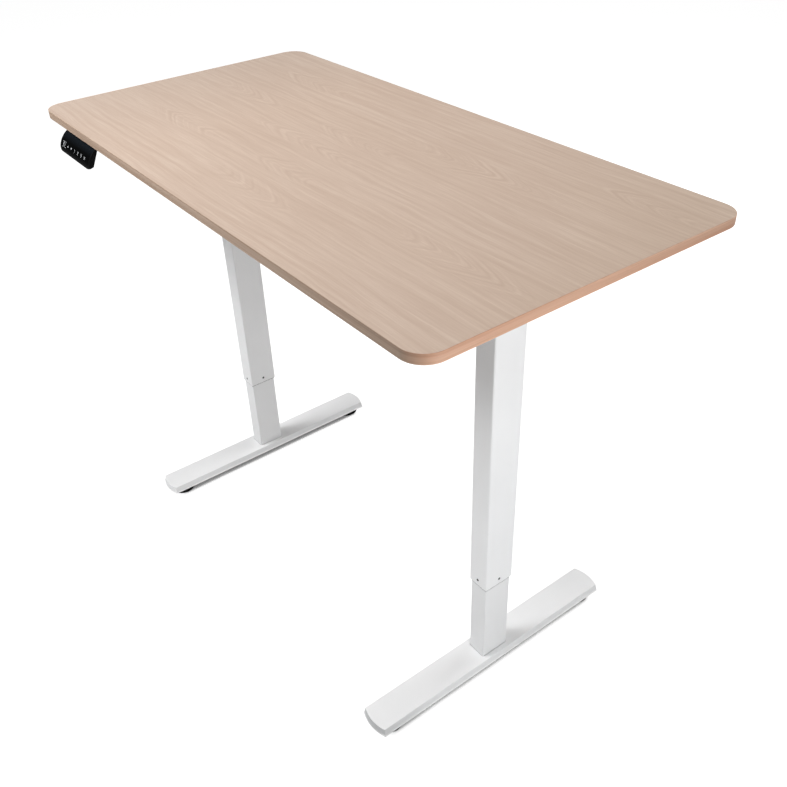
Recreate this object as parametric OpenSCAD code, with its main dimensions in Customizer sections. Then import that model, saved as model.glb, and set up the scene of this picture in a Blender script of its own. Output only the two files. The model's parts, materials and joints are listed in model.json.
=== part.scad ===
// Height adjustable standing desk: a board on a steel frame, carried by two telescopic columns.
// +X runs along the board to the user's right, +Y to the back, +Z up.
// The origin is on the floor, below the middle of the board.

/* [Worktop] */
// Length of the worktop, along X
top_length = 1200; // [1130:10:1400]
// Depth of the worktop, along Y
top_depth = 600; // [600:10:700]
// Thickness of the worktop's board
top_thickness = 15; // [15:1:25]
// Radius of the worktop's corners in plan
corner_radius = 38; // [20:1:60]
// Thickness of the band around the worktop's edge
band_thickness = 1; // [0.8:0.1:2]
// Height of the worktop's upper face as the desk stands here, with the lift part way up
desk_height = 910; // [900:5:960]

/* [Lift] */
// Way that the worktop can still come down
travel_down = 183; // [120:1:183]
// Way that the worktop can still go up
travel_up = 267; // [200:1:290]
// Distance between the centre lines of the two columns
leg_spacing = 840; // [760:10:860]

/* [Columns] */
// Width of an upper tube, along X
upper_tube_x = 44; // [42:0.5:60]
// Depth of an upper tube, along Y
upper_tube_y = 65; // [60:0.5:68]
// Outer corner radius of an upper tube
upper_tube_corner = 3; // [3:0.5:8]
// Length of an upper tube
upper_tube_length = 629; // [600:1:629]
// Length of a lower tube
lower_tube_length = 610; // [560:1:615]
// Wall of both tubes
tube_wall = 1.5; // [1.2:0.1:2]
// Gap between the two tubes, filled by the glides
tube_gap = 1; // [0.8:0.1:1.5]
// Height of a glide
glide_height = 40; // [20:1:60]
// Height of the lower glide's lip under the end of the upper tube
glide_lip = 1; // [0.5:0.1:2.5]
// Radius of the pegs that lock a lower glide to its tube
peg_radius = 2.5; // [1.5:0.1:4]
// Distance from the lower end of an upper tube to its pegs
peg_height = 12; // [6:1:18]

/* [Feet] */
// Length of a foot between the corners of its ends
foot_length = 550; // [450:5:650]
// Width of a foot's upper face
foot_width = 60; // [56:1:90]
// Amount that each side of a foot slopes outwards
foot_slope = 2.5; // [0:0.5:6]
// Height of a foot's upper face
foot_height = 30; // [28:0.5:32]
// Height of a foot's lower edge above the floor
foot_edge = 15.5; // [12:0.5:18]
// Radius of the curve of a foot's end in plan
foot_end_radius = 72; // [50:1:200]
// Wall of a foot's pressed sheet
foot_wall = 2; // [1.5:0.1:3]
// Distance from the column to a levelling foot, along Y
pad_distance = 246; // [150:1:250]
// Radius of a levelling foot's pad
pad_radius = 27; // [15:1:30]
// Height of a levelling foot's pad
pad_height = 9; // [5:0.5:10]
// Radius of a levelling foot's stud
stud_radius = 4; // [3:0.5:6]

/* [Frame] */
// Height of a cross rail
rail_height = 40; // [38:1:41]
// Width of a cross rail's flanges
rail_flange = 22; // [18:1:30]
// Thickness of the cross rails' sheet
rail_sheet = 2; // [1.5:0.1:3]
// Thickness of the head frames' plate
head_sheet = 3; // [2:0.1:4]
// Half the length of a head frame, from the column's centre line
head_reach = 60; // [54:1:70]
// Depth from the worktop's underside down to the head of a column
head_depth = 50; // [50:1:60]
// Length of a side bracket, along Y
bracket_length = 450; // [300:10:460]
// Width of a side bracket's upper flange
bracket_width = 50; // [30:1:60]
// Thickness of the side brackets' sheet
bracket_sheet = 2.5; // [2:0.1:3]

/* [Drive] */
// Radius of a lead screw
screw_radius = 6; // [6:0.5:8]
// Height of a drive nut
nut_height = 30; // [20:1:40]
// Pitch radius of the four bevel gears
gear_radius = 12; // [12:0.5:12.5]
// Number of teeth of a bevel gear
gear_teeth = 12; // [12:2:16]
// Width of the bevel gears' teeth, along their axis
gear_face = 4.5; // [3:0.5:5]
// Width across the flats of the cross shaft
shaft_flats = 8; // [6:0.5:9]
// Outer radius of the thrust bearings
bearing_radius = 12; // [10:0.5:16]
// Height of the thrust bearings
bearing_height = 9; // [7:0.5:9]
// Place of the motor along X
motor_x = 300; // [240:5:310]
// Radius of the motor's can
motor_radius = 27; // [20:1:32]
// Length of the motor's can
motor_length = 95; // [70:1:120]

/* [Control box] */
// Length of the control box, along X
box_length = 240; // [200:5:280]
// Depth of the control box, along Y
box_depth = 92; // [80:1:110]
// Height of the control box
box_height = 30; // [28:1:40]
// Wall of the control box
box_wall = 2; // [1.5:0.1:3]

/* [Handset] */
// Width of the handset, along X
handset_width = 144; // [140:1:170]
// Radius of the handset's curved face
face_radius = 45; // [44:1:50]
// Lean of the key row's face back from upright
key_tilt = 25; // [20:1:30]
// Thickness of the handset's front panel
panel_wall = 2; // [1.5:0.1:2.5]
// Width of a key
key_width = 12; // [9:0.5:14]
// Height of a key
key_height = 11; // [9:0.5:12]
// Distance from one key to the next
key_pitch = 16.4; // [15:0.1:18]
// Travel of a key
key_travel = 0.5; // [0.3:0.1:0.6]

/* [Hidden] */
$fn = 48;

// clearances: between pieces seated in one another, in running bearings, and beside what slides or turns
seat_gap = 0.1;
running_gap = 0.05;
sliding_gap = 0.3;
// margin by which a cutting tool passes the face that it cuts
cut = 1;

// heights of the frame
under_z = desk_height - top_thickness;
head_z = under_z - head_depth;
plate_z = head_z + head_sheet;
rail_z = under_z - rail_height;
column_x = leg_spacing / 2;
frame_end = column_x + head_reach;

// columns
lower_tube_x = upper_tube_x - 2 * (tube_wall + tube_gap);
lower_tube_y = upper_tube_y - 2 * (tube_wall + tube_gap);
lower_tube_corner = upper_tube_corner - tube_gap / 2;
lower_bore_corner = max(0.5, lower_tube_corner - tube_wall);
upper_tube_z = head_z - upper_tube_length;
lower_tube_top = foot_height + lower_tube_length;
glide_rim = 2;
glide_lip_inset = 0.5;
foot_block = 12;

// feet and their bolts
foot_sagitta = foot_end_radius - sqrt(pow(foot_end_radius, 2) - pow(foot_width / 2, 2));
base_plate_y = 110;
base_plate_sheet = 6;
foot_bolt_radius = 4;
foot_bolt_x = 9;
foot_bolt_y = 18;
pad_play = 0.3;
bush_wall = 4;

// head frame: the side walls stand at channel_half, outside the upper tube
channel_half = 34;
channel_top = under_z - 2;

// bevel drive: the apex of both cones is on the shaft's axis
gear_hub = 3;
gear_hub_radius = 8;
gear_clear = 0.3;
shaft_z = plate_z + bearing_height + gear_clear + gear_hub + gear_radius;
gear_tip = 1.3;
gear_root = 1.75;
tooth_half = 1.15;
journal_radius = 5;
journal_length = 9;
housing_wall = 3;
housing_x = 20;
housing_y = 21;
housing_flange = 30;
housing_top = shaft_z + gear_radius + gear_tip + 1 + housing_wall;
screw_margin = 13;
screw_stop = 8;
screw_stop_radius = 9;
screw_low = lower_tube_top - nut_height - travel_up - screw_margin;

// motor gear case
wheel_radius = 16;
wheel_width = 10;
case_x = 18;
case_wall = 3;
case_front = 22;
motor_y = 21;
case_low = shaft_z - wheel_radius - case_wall - 1;
case_high = min(under_z - 3, shaft_z + wheel_radius + case_wall + 1);
motor_cap = 4;
motor_neck = 26;

// screws into the worktop, and bolts of the frame
wood_screw_radius = 2.2;
wood_screw_length = 11;
screw_head_radius = 4.5;
screw_head_height = 2.2;
bracket_screw_end = 15;
bracket_screw_pitch = 65;
rail_screw_inset = 120;
rail_screw_x = column_x - rail_screw_inset;
m6 = 3;
m4 = 2;

// control box, fixed behind the back rail
box_inset = 630;
box_x = column_x - box_inset;
box_back = 96;
box_y = top_depth / 2 - box_back - box_depth / 2;
box_plate = 1.6;
box_ear = 12;
box_screw_edge = 10;
board_sheet = 1.6;
board_post = 6;
board_margin = 5;
post_inset = [30, 12];
board_posts = [for (i = [-1, 1], j = [-1, 1])
    [box_x + i * (box_length / 2 - post_inset[0]), box_y + j * (box_depth / 2 - post_inset[1])]];
transformer_inset = 20;
transformer_size = [40, 40, 13];
heat_sink_size = [55, 12, 12];
capacitor_radius = 7;
capacitor_height = 13;
capacitor_pitch = 18;
capacitor_y = 18;
socket_z = under_z - box_plate - box_height / 2 + 1;
inlet_width = 22;
inlet_height = 17;
inlet_depth = 18;
socket_width = 14;
socket_height = 12;
socket_depth = 13;
socket_pitch = 20;

// handset: its face is an arc about an axis along X; its middle is handset_end from the board's left end
handset_end = 173;
handset_x = handset_end - top_length / 2;
face_setback = 30.5;
face_y = face_setback - top_depth / 2;
face_z = under_z - face_radius;
handset_bottom = 3.3;
handset_lean = 20.5;
flange_depth = 8;
flange_reach = 24;
handset_wall = 2;
handset_corner = 9;
face_top_angle = 80;
face_low_angle = 7;
display_x = -53;
display_width = 17;
display_height = 12;
first_key = -33.5;
key_depth = 3.4;
key_lift = 0.2;
key_corner = 2;
board_drop = 6;
board_rise = 2;
handset_board_width = 128;
handset_board_height = 17;
handset_screw_edge = 20;
handset_screw_y = face_y + 15;
handset_screw_x = [for (i = [-1, 1]) handset_x + i * (handset_width / 2 - handset_screw_edge)];

// rounded rectangle about the origin
module rounded_rect(x, y, r) {
    square([x - 2 * r, y], center = true);
    square([x, y - 2 * r], center = true);
    for (i = [-1, 1], j = [-1, 1])
        translate([i * (x / 2 - r), j * (y / 2 - r)]) circle(r);
}

// tube of rounded rectangular section, standing on the plane z = 0
module rounded_tube(x, y, r, wall, length) {
    difference() {
        linear_extrude(length) rounded_rect(x, y, r);
        translate([0, 0, -cut]) linear_extrude(length + 2 * cut)
            rounded_rect(x - 2 * wall, y - 2 * wall, max(0.5, r - wall));
    }
}

// block between two corners
module block(low, high) {
    translate(low) cube([for (i = [0:2]) high[i] - low[i]]);
}

// upright cylinder between two heights
module post(r, low, high) {
    translate([0, 0, low]) cylinder(r = r, h = high - low);
}

// bolt whose head sits on the plane z = 0 with its shank below, and a nut where it has one
module bolt(r, length, nut) {
    translate([0, 0, -length]) cylinder(r = r, h = length);
    difference() {
        cylinder(r = 1.75 * r, h = 1.3 * r);
        translate([0, 0, 0.5 * r]) cylinder(r = 0.95 * r, h = 2 * r, $fn = 6);
    }
    if (nut) translate([0, 0, -length]) cylinder(r = 1.85 * r, h = 1.6 * r, $fn = 6);
}

// places of the wood screws: x, y and the thickness of what each one clamps
bracket_mid = frame_end + bracket_width / 2;
wood_screws = concat(
    [for (s = [-1, 1], j = [-1, 1], k = [0:2])
        [s * bracket_mid, j * (bracket_length / 2 - bracket_screw_end - k * bracket_screw_pitch),
         bracket_sheet]],
    [for (j = [-1, 1], x = [-1, 0, 1])
        [x * rail_screw_x, j * (channel_half + rail_sheet + rail_flange / 2), rail_sheet]],
    [for (i = [-1, 1], j = [-1, 1])
        [box_x + i * (box_length + box_ear) / 2, box_y + j * (box_depth / 2 - box_screw_edge), box_plate]],
    [for (x = handset_screw_x) [x, handset_screw_y, flange_depth / 2]]
);

module wood_screw_holes() {
    for (p = wood_screws) translate([p[0], p[1], under_z - 20])
        cylinder(r = wood_screw_radius + seat_gap, h = 20 + wood_screw_length + 0.5);
}

// bolts of the frame: place of the head's seat, turn, radius, shank length, nut
rail_bolt_length = rail_sheet + head_sheet + 5;
bracket_bolt_length = bracket_sheet + head_sheet + 5;
frame_bolt_list = concat(
    [for (s = [-1, 1], j = [-1, 1], d = [-1, 1])
        [[s * column_x + d * (head_reach - 20), j * (channel_half + rail_sheet), rail_z + rail_height / 2],
         [-90 * j, 0, 0], m6, rail_bolt_length, true]],
    [for (s = [-1, 1], j = [-1, 1])
        [[s * (frame_end + bracket_sheet), j * 18, shaft_z], [0, 90 * s, 0], m6, bracket_bolt_length, true]],
    [for (s = [-1, 1], i = [-1, 1], j = [-1, 1])
        [[s * column_x + i * (housing_x - 7), j * (housing_flange - 4.5), plate_z + housing_wall],
         [0, 0, 0], m4, housing_wall + head_sheet - 0.2, false]],
    [for (i = [-1, 1])
        [[motor_x + i * (case_x - 5), channel_half + rail_sheet, shaft_z + 11],
         [-90, 0, 0], m4, rail_sheet + 6, false]]
);

module frame_bolt_holes() {
    for (b = frame_bolt_list) translate(b[0]) rotate(b[1])
        translate([0, 0, -b[3] - 0.5]) cylinder(r = b[2] + seat_gap, h = b[3] + 1);
}

// ---- worktop ----

module desktop() {
    color([0.85, 0.77, 0.70]) difference() {
        translate([0, 0, under_z]) linear_extrude(top_thickness)
            rounded_rect(top_length - 2 * (band_thickness + running_gap),
                top_depth - 2 * (band_thickness + running_gap), corner_radius - band_thickness - running_gap);
        wood_screw_holes();
    }
}

module edge_band() {
    color([0.72, 0.61, 0.53]) translate([0, 0, under_z])
        rounded_tube(top_length, top_depth, corner_radius, band_thickness, top_thickness);
}

module desktop_screws() {
    color([0.6, 0.6, 0.62]) for (p = wood_screws) translate([p[0], p[1], under_z - p[2]]) {
        cylinder(r = wood_screw_radius, h = p[2] + wood_screw_length);
        difference() {
            translate([0, 0, -screw_head_height]) cylinder(r = screw_head_radius, h = screw_head_height);
            translate([0, 0, -screw_head_height - 0.1]) for (a = [0, 90]) rotate(a)
                translate([-2.5, -0.5, 0]) cube([5, 1, 1.2]);
        }
    }
}

// ---- frame ----

// side bracket: a flange under the board, a web that deepens at the frame, and a turned outer lip
module side_bracket(s) {
    half = bracket_length / 2;
    mid = channel_half + rail_sheet + rail_flange;
    color([0.92, 0.92, 0.92]) difference() {
        mirror([s < 0 ? 1 : 0, 0, 0]) union() {
            block([frame_end, -half, under_z - bracket_sheet], [frame_end + bracket_width, half, under_z]);
            block([frame_end + bracket_width - bracket_sheet, -half, under_z - 10],
                [frame_end + bracket_width, half, under_z]);
            translate([frame_end, 0, 0]) rotate([90, 0, 90]) linear_extrude(bracket_sheet)
                polygon([[-half, under_z], [-half, under_z - 12], [-mid, rail_z], [mid, rail_z],
                    [half, under_z - 12], [half, under_z]]);
        }
        wood_screw_holes();
        frame_bolt_holes();
    }
}

// cross rail: a channel with its web against the head frames and its flanges turned outwards
module cross_rail(j) {
    color([0.92, 0.92, 0.92]) difference() {
        mirror([0, j < 0 ? 1 : 0, 0]) difference() {
            block([-frame_end, channel_half, rail_z],
                [frame_end, channel_half + rail_flange + rail_sheet, under_z]);
            block([-frame_end - cut, channel_half + rail_sheet, rail_z + rail_sheet],
                [frame_end + cut, channel_half + rail_flange + rail_sheet + cut, under_z - rail_sheet]);
        }
        wood_screw_holes();
        frame_bolt_holes();
        for (p = wood_screws) if (abs(p[0]) < column_x && p[2] == rail_sheet)
            translate([p[0], p[1], rail_z - cut])
                cylinder(r = screw_head_radius + 2, h = rail_sheet + 2 * cut);
    }
}

// head frame: a folded plate that joins the column, the rails and the side bracket
module head_frame(s) {
    color([0.92, 0.92, 0.92]) difference() {
        translate([s * column_x, 0, 0]) mirror([s < 0 ? 1 : 0, 0, 0]) difference() {
            block([-head_reach, -channel_half, head_z], [head_reach, channel_half, channel_top]);
            block([-head_reach - cut, head_sheet - channel_half, plate_z],
                [head_reach - head_sheet, channel_half - head_sheet, channel_top + cut]);
        }
        translate([s * column_x, 0, head_z - cut])
            cylinder(r = screw_radius + sliding_gap, h = head_sheet + 2 * cut);
        frame_bolt_holes();
    }
}

module frame_bolts() {
    color([0.6, 0.6, 0.62]) for (b = frame_bolt_list)
        translate(b[0]) rotate(b[1]) bolt(b[2], b[3], b[4]);
}

// ---- columns ----

module glide_pegs(s, r, reach) {
    translate([s * column_x, 0, upper_tube_z + peg_height]) {
        rotate([90, 0, 0]) cylinder(r = r, h = upper_tube_y + 2 * reach, center = true);
        rotate([0, 90, 0]) cylinder(r = r, h = upper_tube_x + 2 * reach, center = true);
    }
}

module upper_tube(s) {
    color([0.93, 0.93, 0.93]) difference() {
        translate([s * column_x, 0, upper_tube_z])
            rounded_tube(upper_tube_x, upper_tube_y, upper_tube_corner, tube_wall, upper_tube_length);
        glide_pegs(s, peg_radius + seat_gap, cut);
    }
}

// lower glide: a sleeve inside the mouth of the upper tube, locked by four pegs, with a lip under its end
module lower_glide(s) {
    outer_x = upper_tube_x - 2 * (tube_wall + seat_gap);
    outer_y = upper_tube_y - 2 * (tube_wall + seat_gap);
    outer_r = upper_tube_corner - tube_wall - seat_gap;
    color([0.12, 0.12, 0.13]) difference() {
        union() {
            translate([s * column_x, 0, upper_tube_z - glide_lip]) linear_extrude(glide_height + glide_lip)
                rounded_rect(outer_x, outer_y, outer_r);
            translate([s * column_x, 0, upper_tube_z - glide_lip]) linear_extrude(glide_lip)
                rounded_rect(upper_tube_x - 2 * glide_lip_inset, upper_tube_y - 2 * glide_lip_inset,
                    upper_tube_corner - glide_lip_inset);
            glide_pegs(s, peg_radius, 0.2);
        }
        translate([s * column_x, 0, upper_tube_z - glide_lip - cut])
            linear_extrude(glide_height + glide_lip + 2 * cut)
            rounded_rect(lower_tube_x + 2 * sliding_gap, lower_tube_y + 2 * sliding_gap,
                lower_tube_corner + sliding_gap);
    }
}

// lower tube, with the tapped block welded in its lower end
module lower_tube(s) {
    color([0.93, 0.93, 0.93]) difference() {
        translate([s * column_x, 0, foot_height]) union() {
            rounded_tube(lower_tube_x, lower_tube_y, lower_tube_corner, tube_wall, lower_tube_length);
            linear_extrude(foot_block) rounded_rect(lower_tube_x - 2 * tube_wall, lower_tube_y - 2 * tube_wall,
                lower_bore_corner);
        }
        foot_bolt_holes(s);
    }
}

// upper glide: a sleeve around the head of the lower tube, with a rim on the tube's end
module upper_glide(s) {
    outer_x = upper_tube_x - 2 * (tube_wall + sliding_gap);
    outer_y = upper_tube_y - 2 * (tube_wall + sliding_gap);
    outer_r = upper_tube_corner - tube_wall - sliding_gap;
    color([0.12, 0.12, 0.13]) translate([s * column_x, 0, lower_tube_top]) difference() {
        translate([0, 0, -glide_height]) linear_extrude(glide_height + glide_rim)
            rounded_rect(outer_x, outer_y, outer_r);
        translate([0, 0, -glide_height - cut]) linear_extrude(glide_height + cut)
            rounded_rect(lower_tube_x + 2 * seat_gap, lower_tube_y + 2 * seat_gap,
                lower_tube_corner + seat_gap);
        linear_extrude(glide_rim + cut)
            rounded_rect(lower_tube_x - 4 * tube_wall, lower_tube_y - 4 * tube_wall, lower_bore_corner);
    }
}

// ---- feet ----

module foot_outline(grow) {
    half = foot_width / 2 + grow;
    reach = foot_length / 2 + foot_sagitta - foot_end_radius;
    square([2 * half, 2 * reach], center = true);
    for (j = [-1, 1]) intersection() {
        translate([0, j * reach]) circle(foot_end_radius + grow, $fn = 96);
        translate([-half, j > 0 ? 0 : -foot_length]) square([2 * half, foot_length]);
    }
}

// solid with sloping sides between two levels, smaller all round by inset
module foot_solid(inset, low, high) {
    hull() {
        translate([0, 0, high - 0.5]) linear_extrude(0.5) foot_outline(-inset);
        translate([0, 0, low]) linear_extrude(0.5) foot_outline(foot_slope - inset);
    }
}

module foot_bolt_holes(s) {
    for (i = [-1, 1], j = [-1, 1])
        translate([s * column_x + i * foot_bolt_x, j * foot_bolt_y, 0])
            cylinder(r = foot_bolt_radius + running_gap, h = foot_height + foot_block - 1);
}

// foot: a pressed shell, open below, with a threaded bush at each end
module foot(s) {
    color([0.93, 0.93, 0.93]) difference() {
        translate([s * column_x, 0, 0]) difference() {
            union() {
                difference() {
                    foot_solid(0, foot_edge, foot_height);
                    foot_solid(foot_wall, foot_edge - cut, foot_height - foot_wall);
                }
                for (j = [-1, 1]) translate([0, j * pad_distance, pad_height + pad_play])
                    cylinder(r = stud_radius + bush_wall,
                        h = foot_height - foot_wall / 2 - pad_height - pad_play);
            }
            for (j = [-1, 1]) translate([0, j * pad_distance, pad_height])
                cylinder(r = stud_radius + running_gap, h = foot_height - foot_wall - pad_height);
        }
        foot_bolt_holes(s);
    }
}

module base_plate(s) {
    color([0.75, 0.75, 0.77]) difference() {
        translate([s * column_x, 0, foot_height - foot_wall - base_plate_sheet])
            linear_extrude(base_plate_sheet)
                square([foot_width - 2 * foot_wall - 4, base_plate_y], center = true);
        foot_bolt_holes(s);
    }
}

module foot_bolts(s) {
    seat = foot_height - foot_wall - base_plate_sheet;
    color([0.6, 0.6, 0.62]) for (i = [-1, 1], j = [-1, 1])
        translate([s * column_x + i * foot_bolt_x, j * foot_bolt_y, seat]) rotate([180, 0, 0])
            bolt(foot_bolt_radius, foot_height - seat + foot_block - 2, false);
}

// levelling foot: a pad moulded on a stud, which screws in the foot's bush
module levelling_foot(s, j) {
    color([0.06, 0.06, 0.06]) translate([s * column_x, j * pad_distance, 0]) {
        rotate_extrude() polygon([[0, 0], [pad_radius - 1, 0], [pad_radius, 1], [pad_radius, pad_height - 2],
            [pad_radius - 2, pad_height], [0, pad_height]]);
        cylinder(r = stud_radius, h = foot_height - foot_wall - pad_play);
    }
}

// ---- lift drive ----

// outline of a bevel gear at its large end, with a tooth on the X axis
module gear_outline() {
    step = 360 / gear_teeth;
    low = gear_radius - gear_root;
    high = gear_radius + gear_tip;
    low_half = (tooth_half + 0.35 * gear_root) / low * 180 / PI;
    high_half = (tooth_half - 0.35 * gear_tip) / high * 180 / PI;
    tooth = [[low, -low_half], [high, -high_half], [high, high_half], [low, low_half]];
    polygon([for (i = [0:gear_teeth - 1], p = tooth) p[0] * [cos(i * step + p[1]), sin(i * step + p[1])]]);
}

// bevel gear with its apex at the origin and its axis on Z, opening downwards
module bevel_gear(hub) {
    translate([0, 0, -gear_radius])
        linear_extrude(gear_face, scale = (gear_radius - gear_face) / gear_radius) gear_outline();
    translate([0, 0, -gear_radius - hub]) cylinder(r = gear_hub_radius, h = hub + 0.5);
}

module screw_gear(s) {
    color([0.72, 0.6, 0.35]) translate([s * column_x, 0, shaft_z]) difference() {
        bevel_gear(gear_hub);
        translate([0, 0, -gear_radius - gear_hub - cut])
            cylinder(r = journal_radius + running_gap, h = gear_hub + gear_radius + 2 * cut);
    }
}

module hex_bore(length) {
    cylinder(r = (shaft_flats / 2 + running_gap) / cos(30), h = length, center = true, $fn = 6);
}

// pinion on the cross shaft, on the inner side of its column, half a tooth out of step
module pinion(s) {
    hub = journal_length + housing_wall;
    color([0.72, 0.6, 0.35]) translate([s * column_x, 0, shaft_z]) difference() {
        rotate([0, 90 * s, 0]) rotate(180 / gear_teeth) bevel_gear(hub);
        rotate([0, 90, 0]) hex_bore(4 * (gear_radius + hub));
    }
}

module lead_screw(s) {
    color([0.68, 0.69, 0.7]) translate([s * column_x, 0, 0]) {
        post(screw_radius, screw_low, plate_z - gear_clear);
        post(screw_stop_radius, screw_low, screw_low + screw_stop);
        post(journal_radius, plate_z - gear_clear, shaft_z - gear_radius + gear_face);
    }
}

// nut held in the head of the lower tube
module drive_nut(s) {
    color([0.9, 0.88, 0.8]) translate([s * column_x, 0, lower_tube_top - nut_height]) difference() {
        linear_extrude(nut_height) rounded_rect(lower_tube_x - 2 * (tube_wall + seat_gap),
            lower_tube_y - 2 * (tube_wall + seat_gap), lower_bore_corner - seat_gap);
        translate([0, 0, -cut]) cylinder(r = screw_radius + running_gap, h = nut_height + 2 * cut);
    }
}

// thrust bearing: two races with the ball cage between them
module thrust_bearing(s) {
    race = bearing_height / 3;
    color([0.7, 0.71, 0.73]) translate([s * column_x, 0, plate_z]) difference() {
        union() {
            cylinder(r = bearing_radius, h = race);
            translate([0, 0, race]) cylinder(r = bearing_radius - 1, h = race);
            translate([0, 0, 2 * race]) cylinder(r = bearing_radius, h = race);
        }
        translate([0, 0, -cut]) cylinder(r = journal_radius + running_gap, h = bearing_height + 2 * cut);
    }
}

// gear housing: a cap over the two gears, screwed down on the head frame
module gear_housing(s) {
    color([0.2, 0.2, 0.21]) difference() {
        translate([s * column_x, 0, 0]) difference() {
            union() {
                block([-housing_x, -housing_y, plate_z], [housing_x, housing_y, housing_top]);
                block([-housing_x, -housing_flange, plate_z],
                    [housing_x, housing_flange, plate_z + housing_wall]);
            }
            block([housing_wall - housing_x, housing_wall - housing_y, plate_z - cut],
                [housing_x - housing_wall, housing_y - housing_wall, housing_top - housing_wall]);
            translate([0, 0, shaft_z]) rotate([0, -90 * s, 0])
                cylinder(r = gear_hub_radius + running_gap, h = housing_x + cut);
        }
        frame_bolt_holes();
    }
}

// hexagonal shaft that turns both columns' screws together
module cross_shaft() {
    half = column_x - gear_radius + gear_face;
    color([0.66, 0.67, 0.69]) translate([0, 0, shaft_z]) rotate([0, 90, 0])
        cylinder(r = shaft_flats / 2 / cos(30), h = 2 * half, center = true, $fn = 6);
}

// wheel of the motor's worm drive, running in the gear case on its two hubs
module drive_wheel() {
    teeth = 24;
    tooth = 1.6;
    color([0.72, 0.6, 0.35]) translate([motor_x, 0, shaft_z]) rotate([0, 90, 0]) difference() {
        union() {
            linear_extrude(wheel_width, center = true) difference() {
                circle(wheel_radius);
                for (i = [0:teeth - 1]) rotate(i * 360 / teeth)
                    translate([wheel_radius, 0]) square([2 * tooth, tooth], center = true);
            }
            cylinder(r = gear_hub_radius, h = 2 * case_x, center = true);
        }
        hex_bore(4 * case_x);
    }
}

// gear case: open to the front, on the web of the back rail
module motor_gear_case() {
    color([0.2, 0.2, 0.21]) difference() {
        translate([motor_x, 0, 0]) difference() {
            block([-case_x, case_wall - case_front, case_low], [case_x, channel_half, case_high]);
            block([case_wall - case_x, -case_front, case_low + case_wall],
                [case_x - case_wall, channel_half - 8, case_high - case_wall]);
            translate([0, 0, shaft_z]) rotate([0, 90, 0])
                cylinder(r = gear_hub_radius + running_gap, h = 3 * case_x, center = true);
        }
        frame_bolt_holes();
    }
}

module motor_gear_cover() {
    lip = 1.5;
    color([0.2, 0.2, 0.21]) translate([motor_x, 0, 0]) {
        block([-case_x, -case_front, case_low], [case_x, case_wall - case_front, case_high]);
        block([case_wall + seat_gap - case_x, case_wall - case_front, case_low + case_wall + seat_gap],
            [case_x - case_wall - seat_gap, case_wall - case_front + lip, case_high - case_wall - seat_gap]);
    }
}

// motor, hanging from the gear case
module motor_can() {
    color([0.25, 0.25, 0.27]) translate([motor_x, motor_y, case_low]) {
        translate([0, 0, -motor_cap]) linear_extrude(motor_cap) rounded_rect(2 * case_x, motor_neck, motor_cap);
        translate([0, 0, -motor_cap - motor_length]) cylinder(r = motor_radius, h = motor_length);
        translate([0, 0, -2 * motor_cap - motor_length]) cylinder(r = motor_radius - motor_cap, h = motor_cap);
    }
}

// ---- control box ----

module control_box_base() {
    low = under_z - box_plate;
    color([0.12, 0.12, 0.13]) difference() {
        union() {
            block([box_x - box_length / 2 - box_ear, box_y - box_depth / 2, low],
                [box_x + box_length / 2 + box_ear, box_y + box_depth / 2, under_z]);
            for (p = board_posts)
                translate([p[0], p[1], low - board_post]) cylinder(r = 3, h = board_post + 0.5);
        }
        wood_screw_holes();
    }
}

// end faces of the control box: the mains inlet is in one, the sockets for the leads in the other
module inlet_block(grow) {
    translate([box_x - box_length / 2, box_y, socket_z])
        block([-1 - grow, -inlet_width / 2 - grow, -inlet_height / 2 - grow],
            [inlet_depth, inlet_width / 2 + grow, inlet_height / 2 + grow]);
}

module socket_blocks(grow) {
    for (j = [-1, 0, 1])
        translate([box_x + box_length / 2, box_y + j * socket_pitch, socket_z])
            block([-socket_depth, -socket_width / 2 - grow, -socket_height / 2 - grow],
                [0.5 + grow, socket_width / 2 + grow, socket_height / 2 + grow]);
}

module control_box_cover() {
    high = under_z - box_plate;
    low = under_z - box_height;
    color([0.12, 0.12, 0.13]) difference() {
        block([box_x - box_length / 2, box_y - box_depth / 2, low],
            [box_x + box_length / 2, box_y + box_depth / 2, high]);
        block([box_x - box_length / 2 + box_wall, box_y - box_depth / 2 + box_wall, low + box_wall],
            [box_x + box_length / 2 - box_wall, box_y + box_depth / 2 - box_wall, high + cut]);
        inlet_block(seat_gap);
        socket_blocks(seat_gap);
    }
}

// two-pole inlet with its pins in a recess
module mains_inlet() {
    color([0.05, 0.05, 0.05]) {
        difference() {
            inlet_block(0);
            translate([box_x - box_length / 2 - 2, box_y, socket_z])
                block([0, -8, -4.5], [inlet_depth - 3, 8, 4.5]);
        }
        for (j = [-1, 1])
            translate([box_x - box_length / 2 + 2, box_y + j * 4.3, socket_z])
                rotate([0, 90, 0]) cylinder(r = 1.2, h = inlet_depth - 4);
    }
}

module lead_sockets() {
    color([0.85, 0.85, 0.82]) difference() {
        socket_blocks(0);
        for (j = [-1, 0, 1])
            translate([box_x + box_length / 2 - 9, box_y + j * socket_pitch, socket_z])
                block([0, 2 - socket_width / 2, 2 - socket_height / 2],
                    [12, socket_width / 2 - 2, socket_height / 2 - 2]);
    }
}

// circuit board with its transformer, capacitors and heat sink
module control_board() {
    high = under_z - box_plate - board_post;
    low = high - board_sheet;
    color([0.1, 0.35, 0.2]) {
        block([box_x - box_length / 2 + inlet_depth + 4, box_y - box_depth / 2 + board_margin, low],
            [box_x + box_length / 2 - socket_depth - 3, box_y + box_depth / 2 - board_margin, high]);
        translate([box_x - transformer_size[0] - transformer_inset, box_y - transformer_size[1] / 2,
            low - transformer_size[2]]) cube(transformer_size);
        translate([box_x + 5, box_y + board_margin + 5, low - heat_sink_size[2]]) cube(heat_sink_size);
        for (k = [0:2])
            translate([box_x + capacitor_pitch * (k + 0.8), box_y - capacitor_y, low - capacitor_height])
                cylinder(r = capacitor_radius, h = capacitor_height);
    }
}

// ---- handset ----

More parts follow.
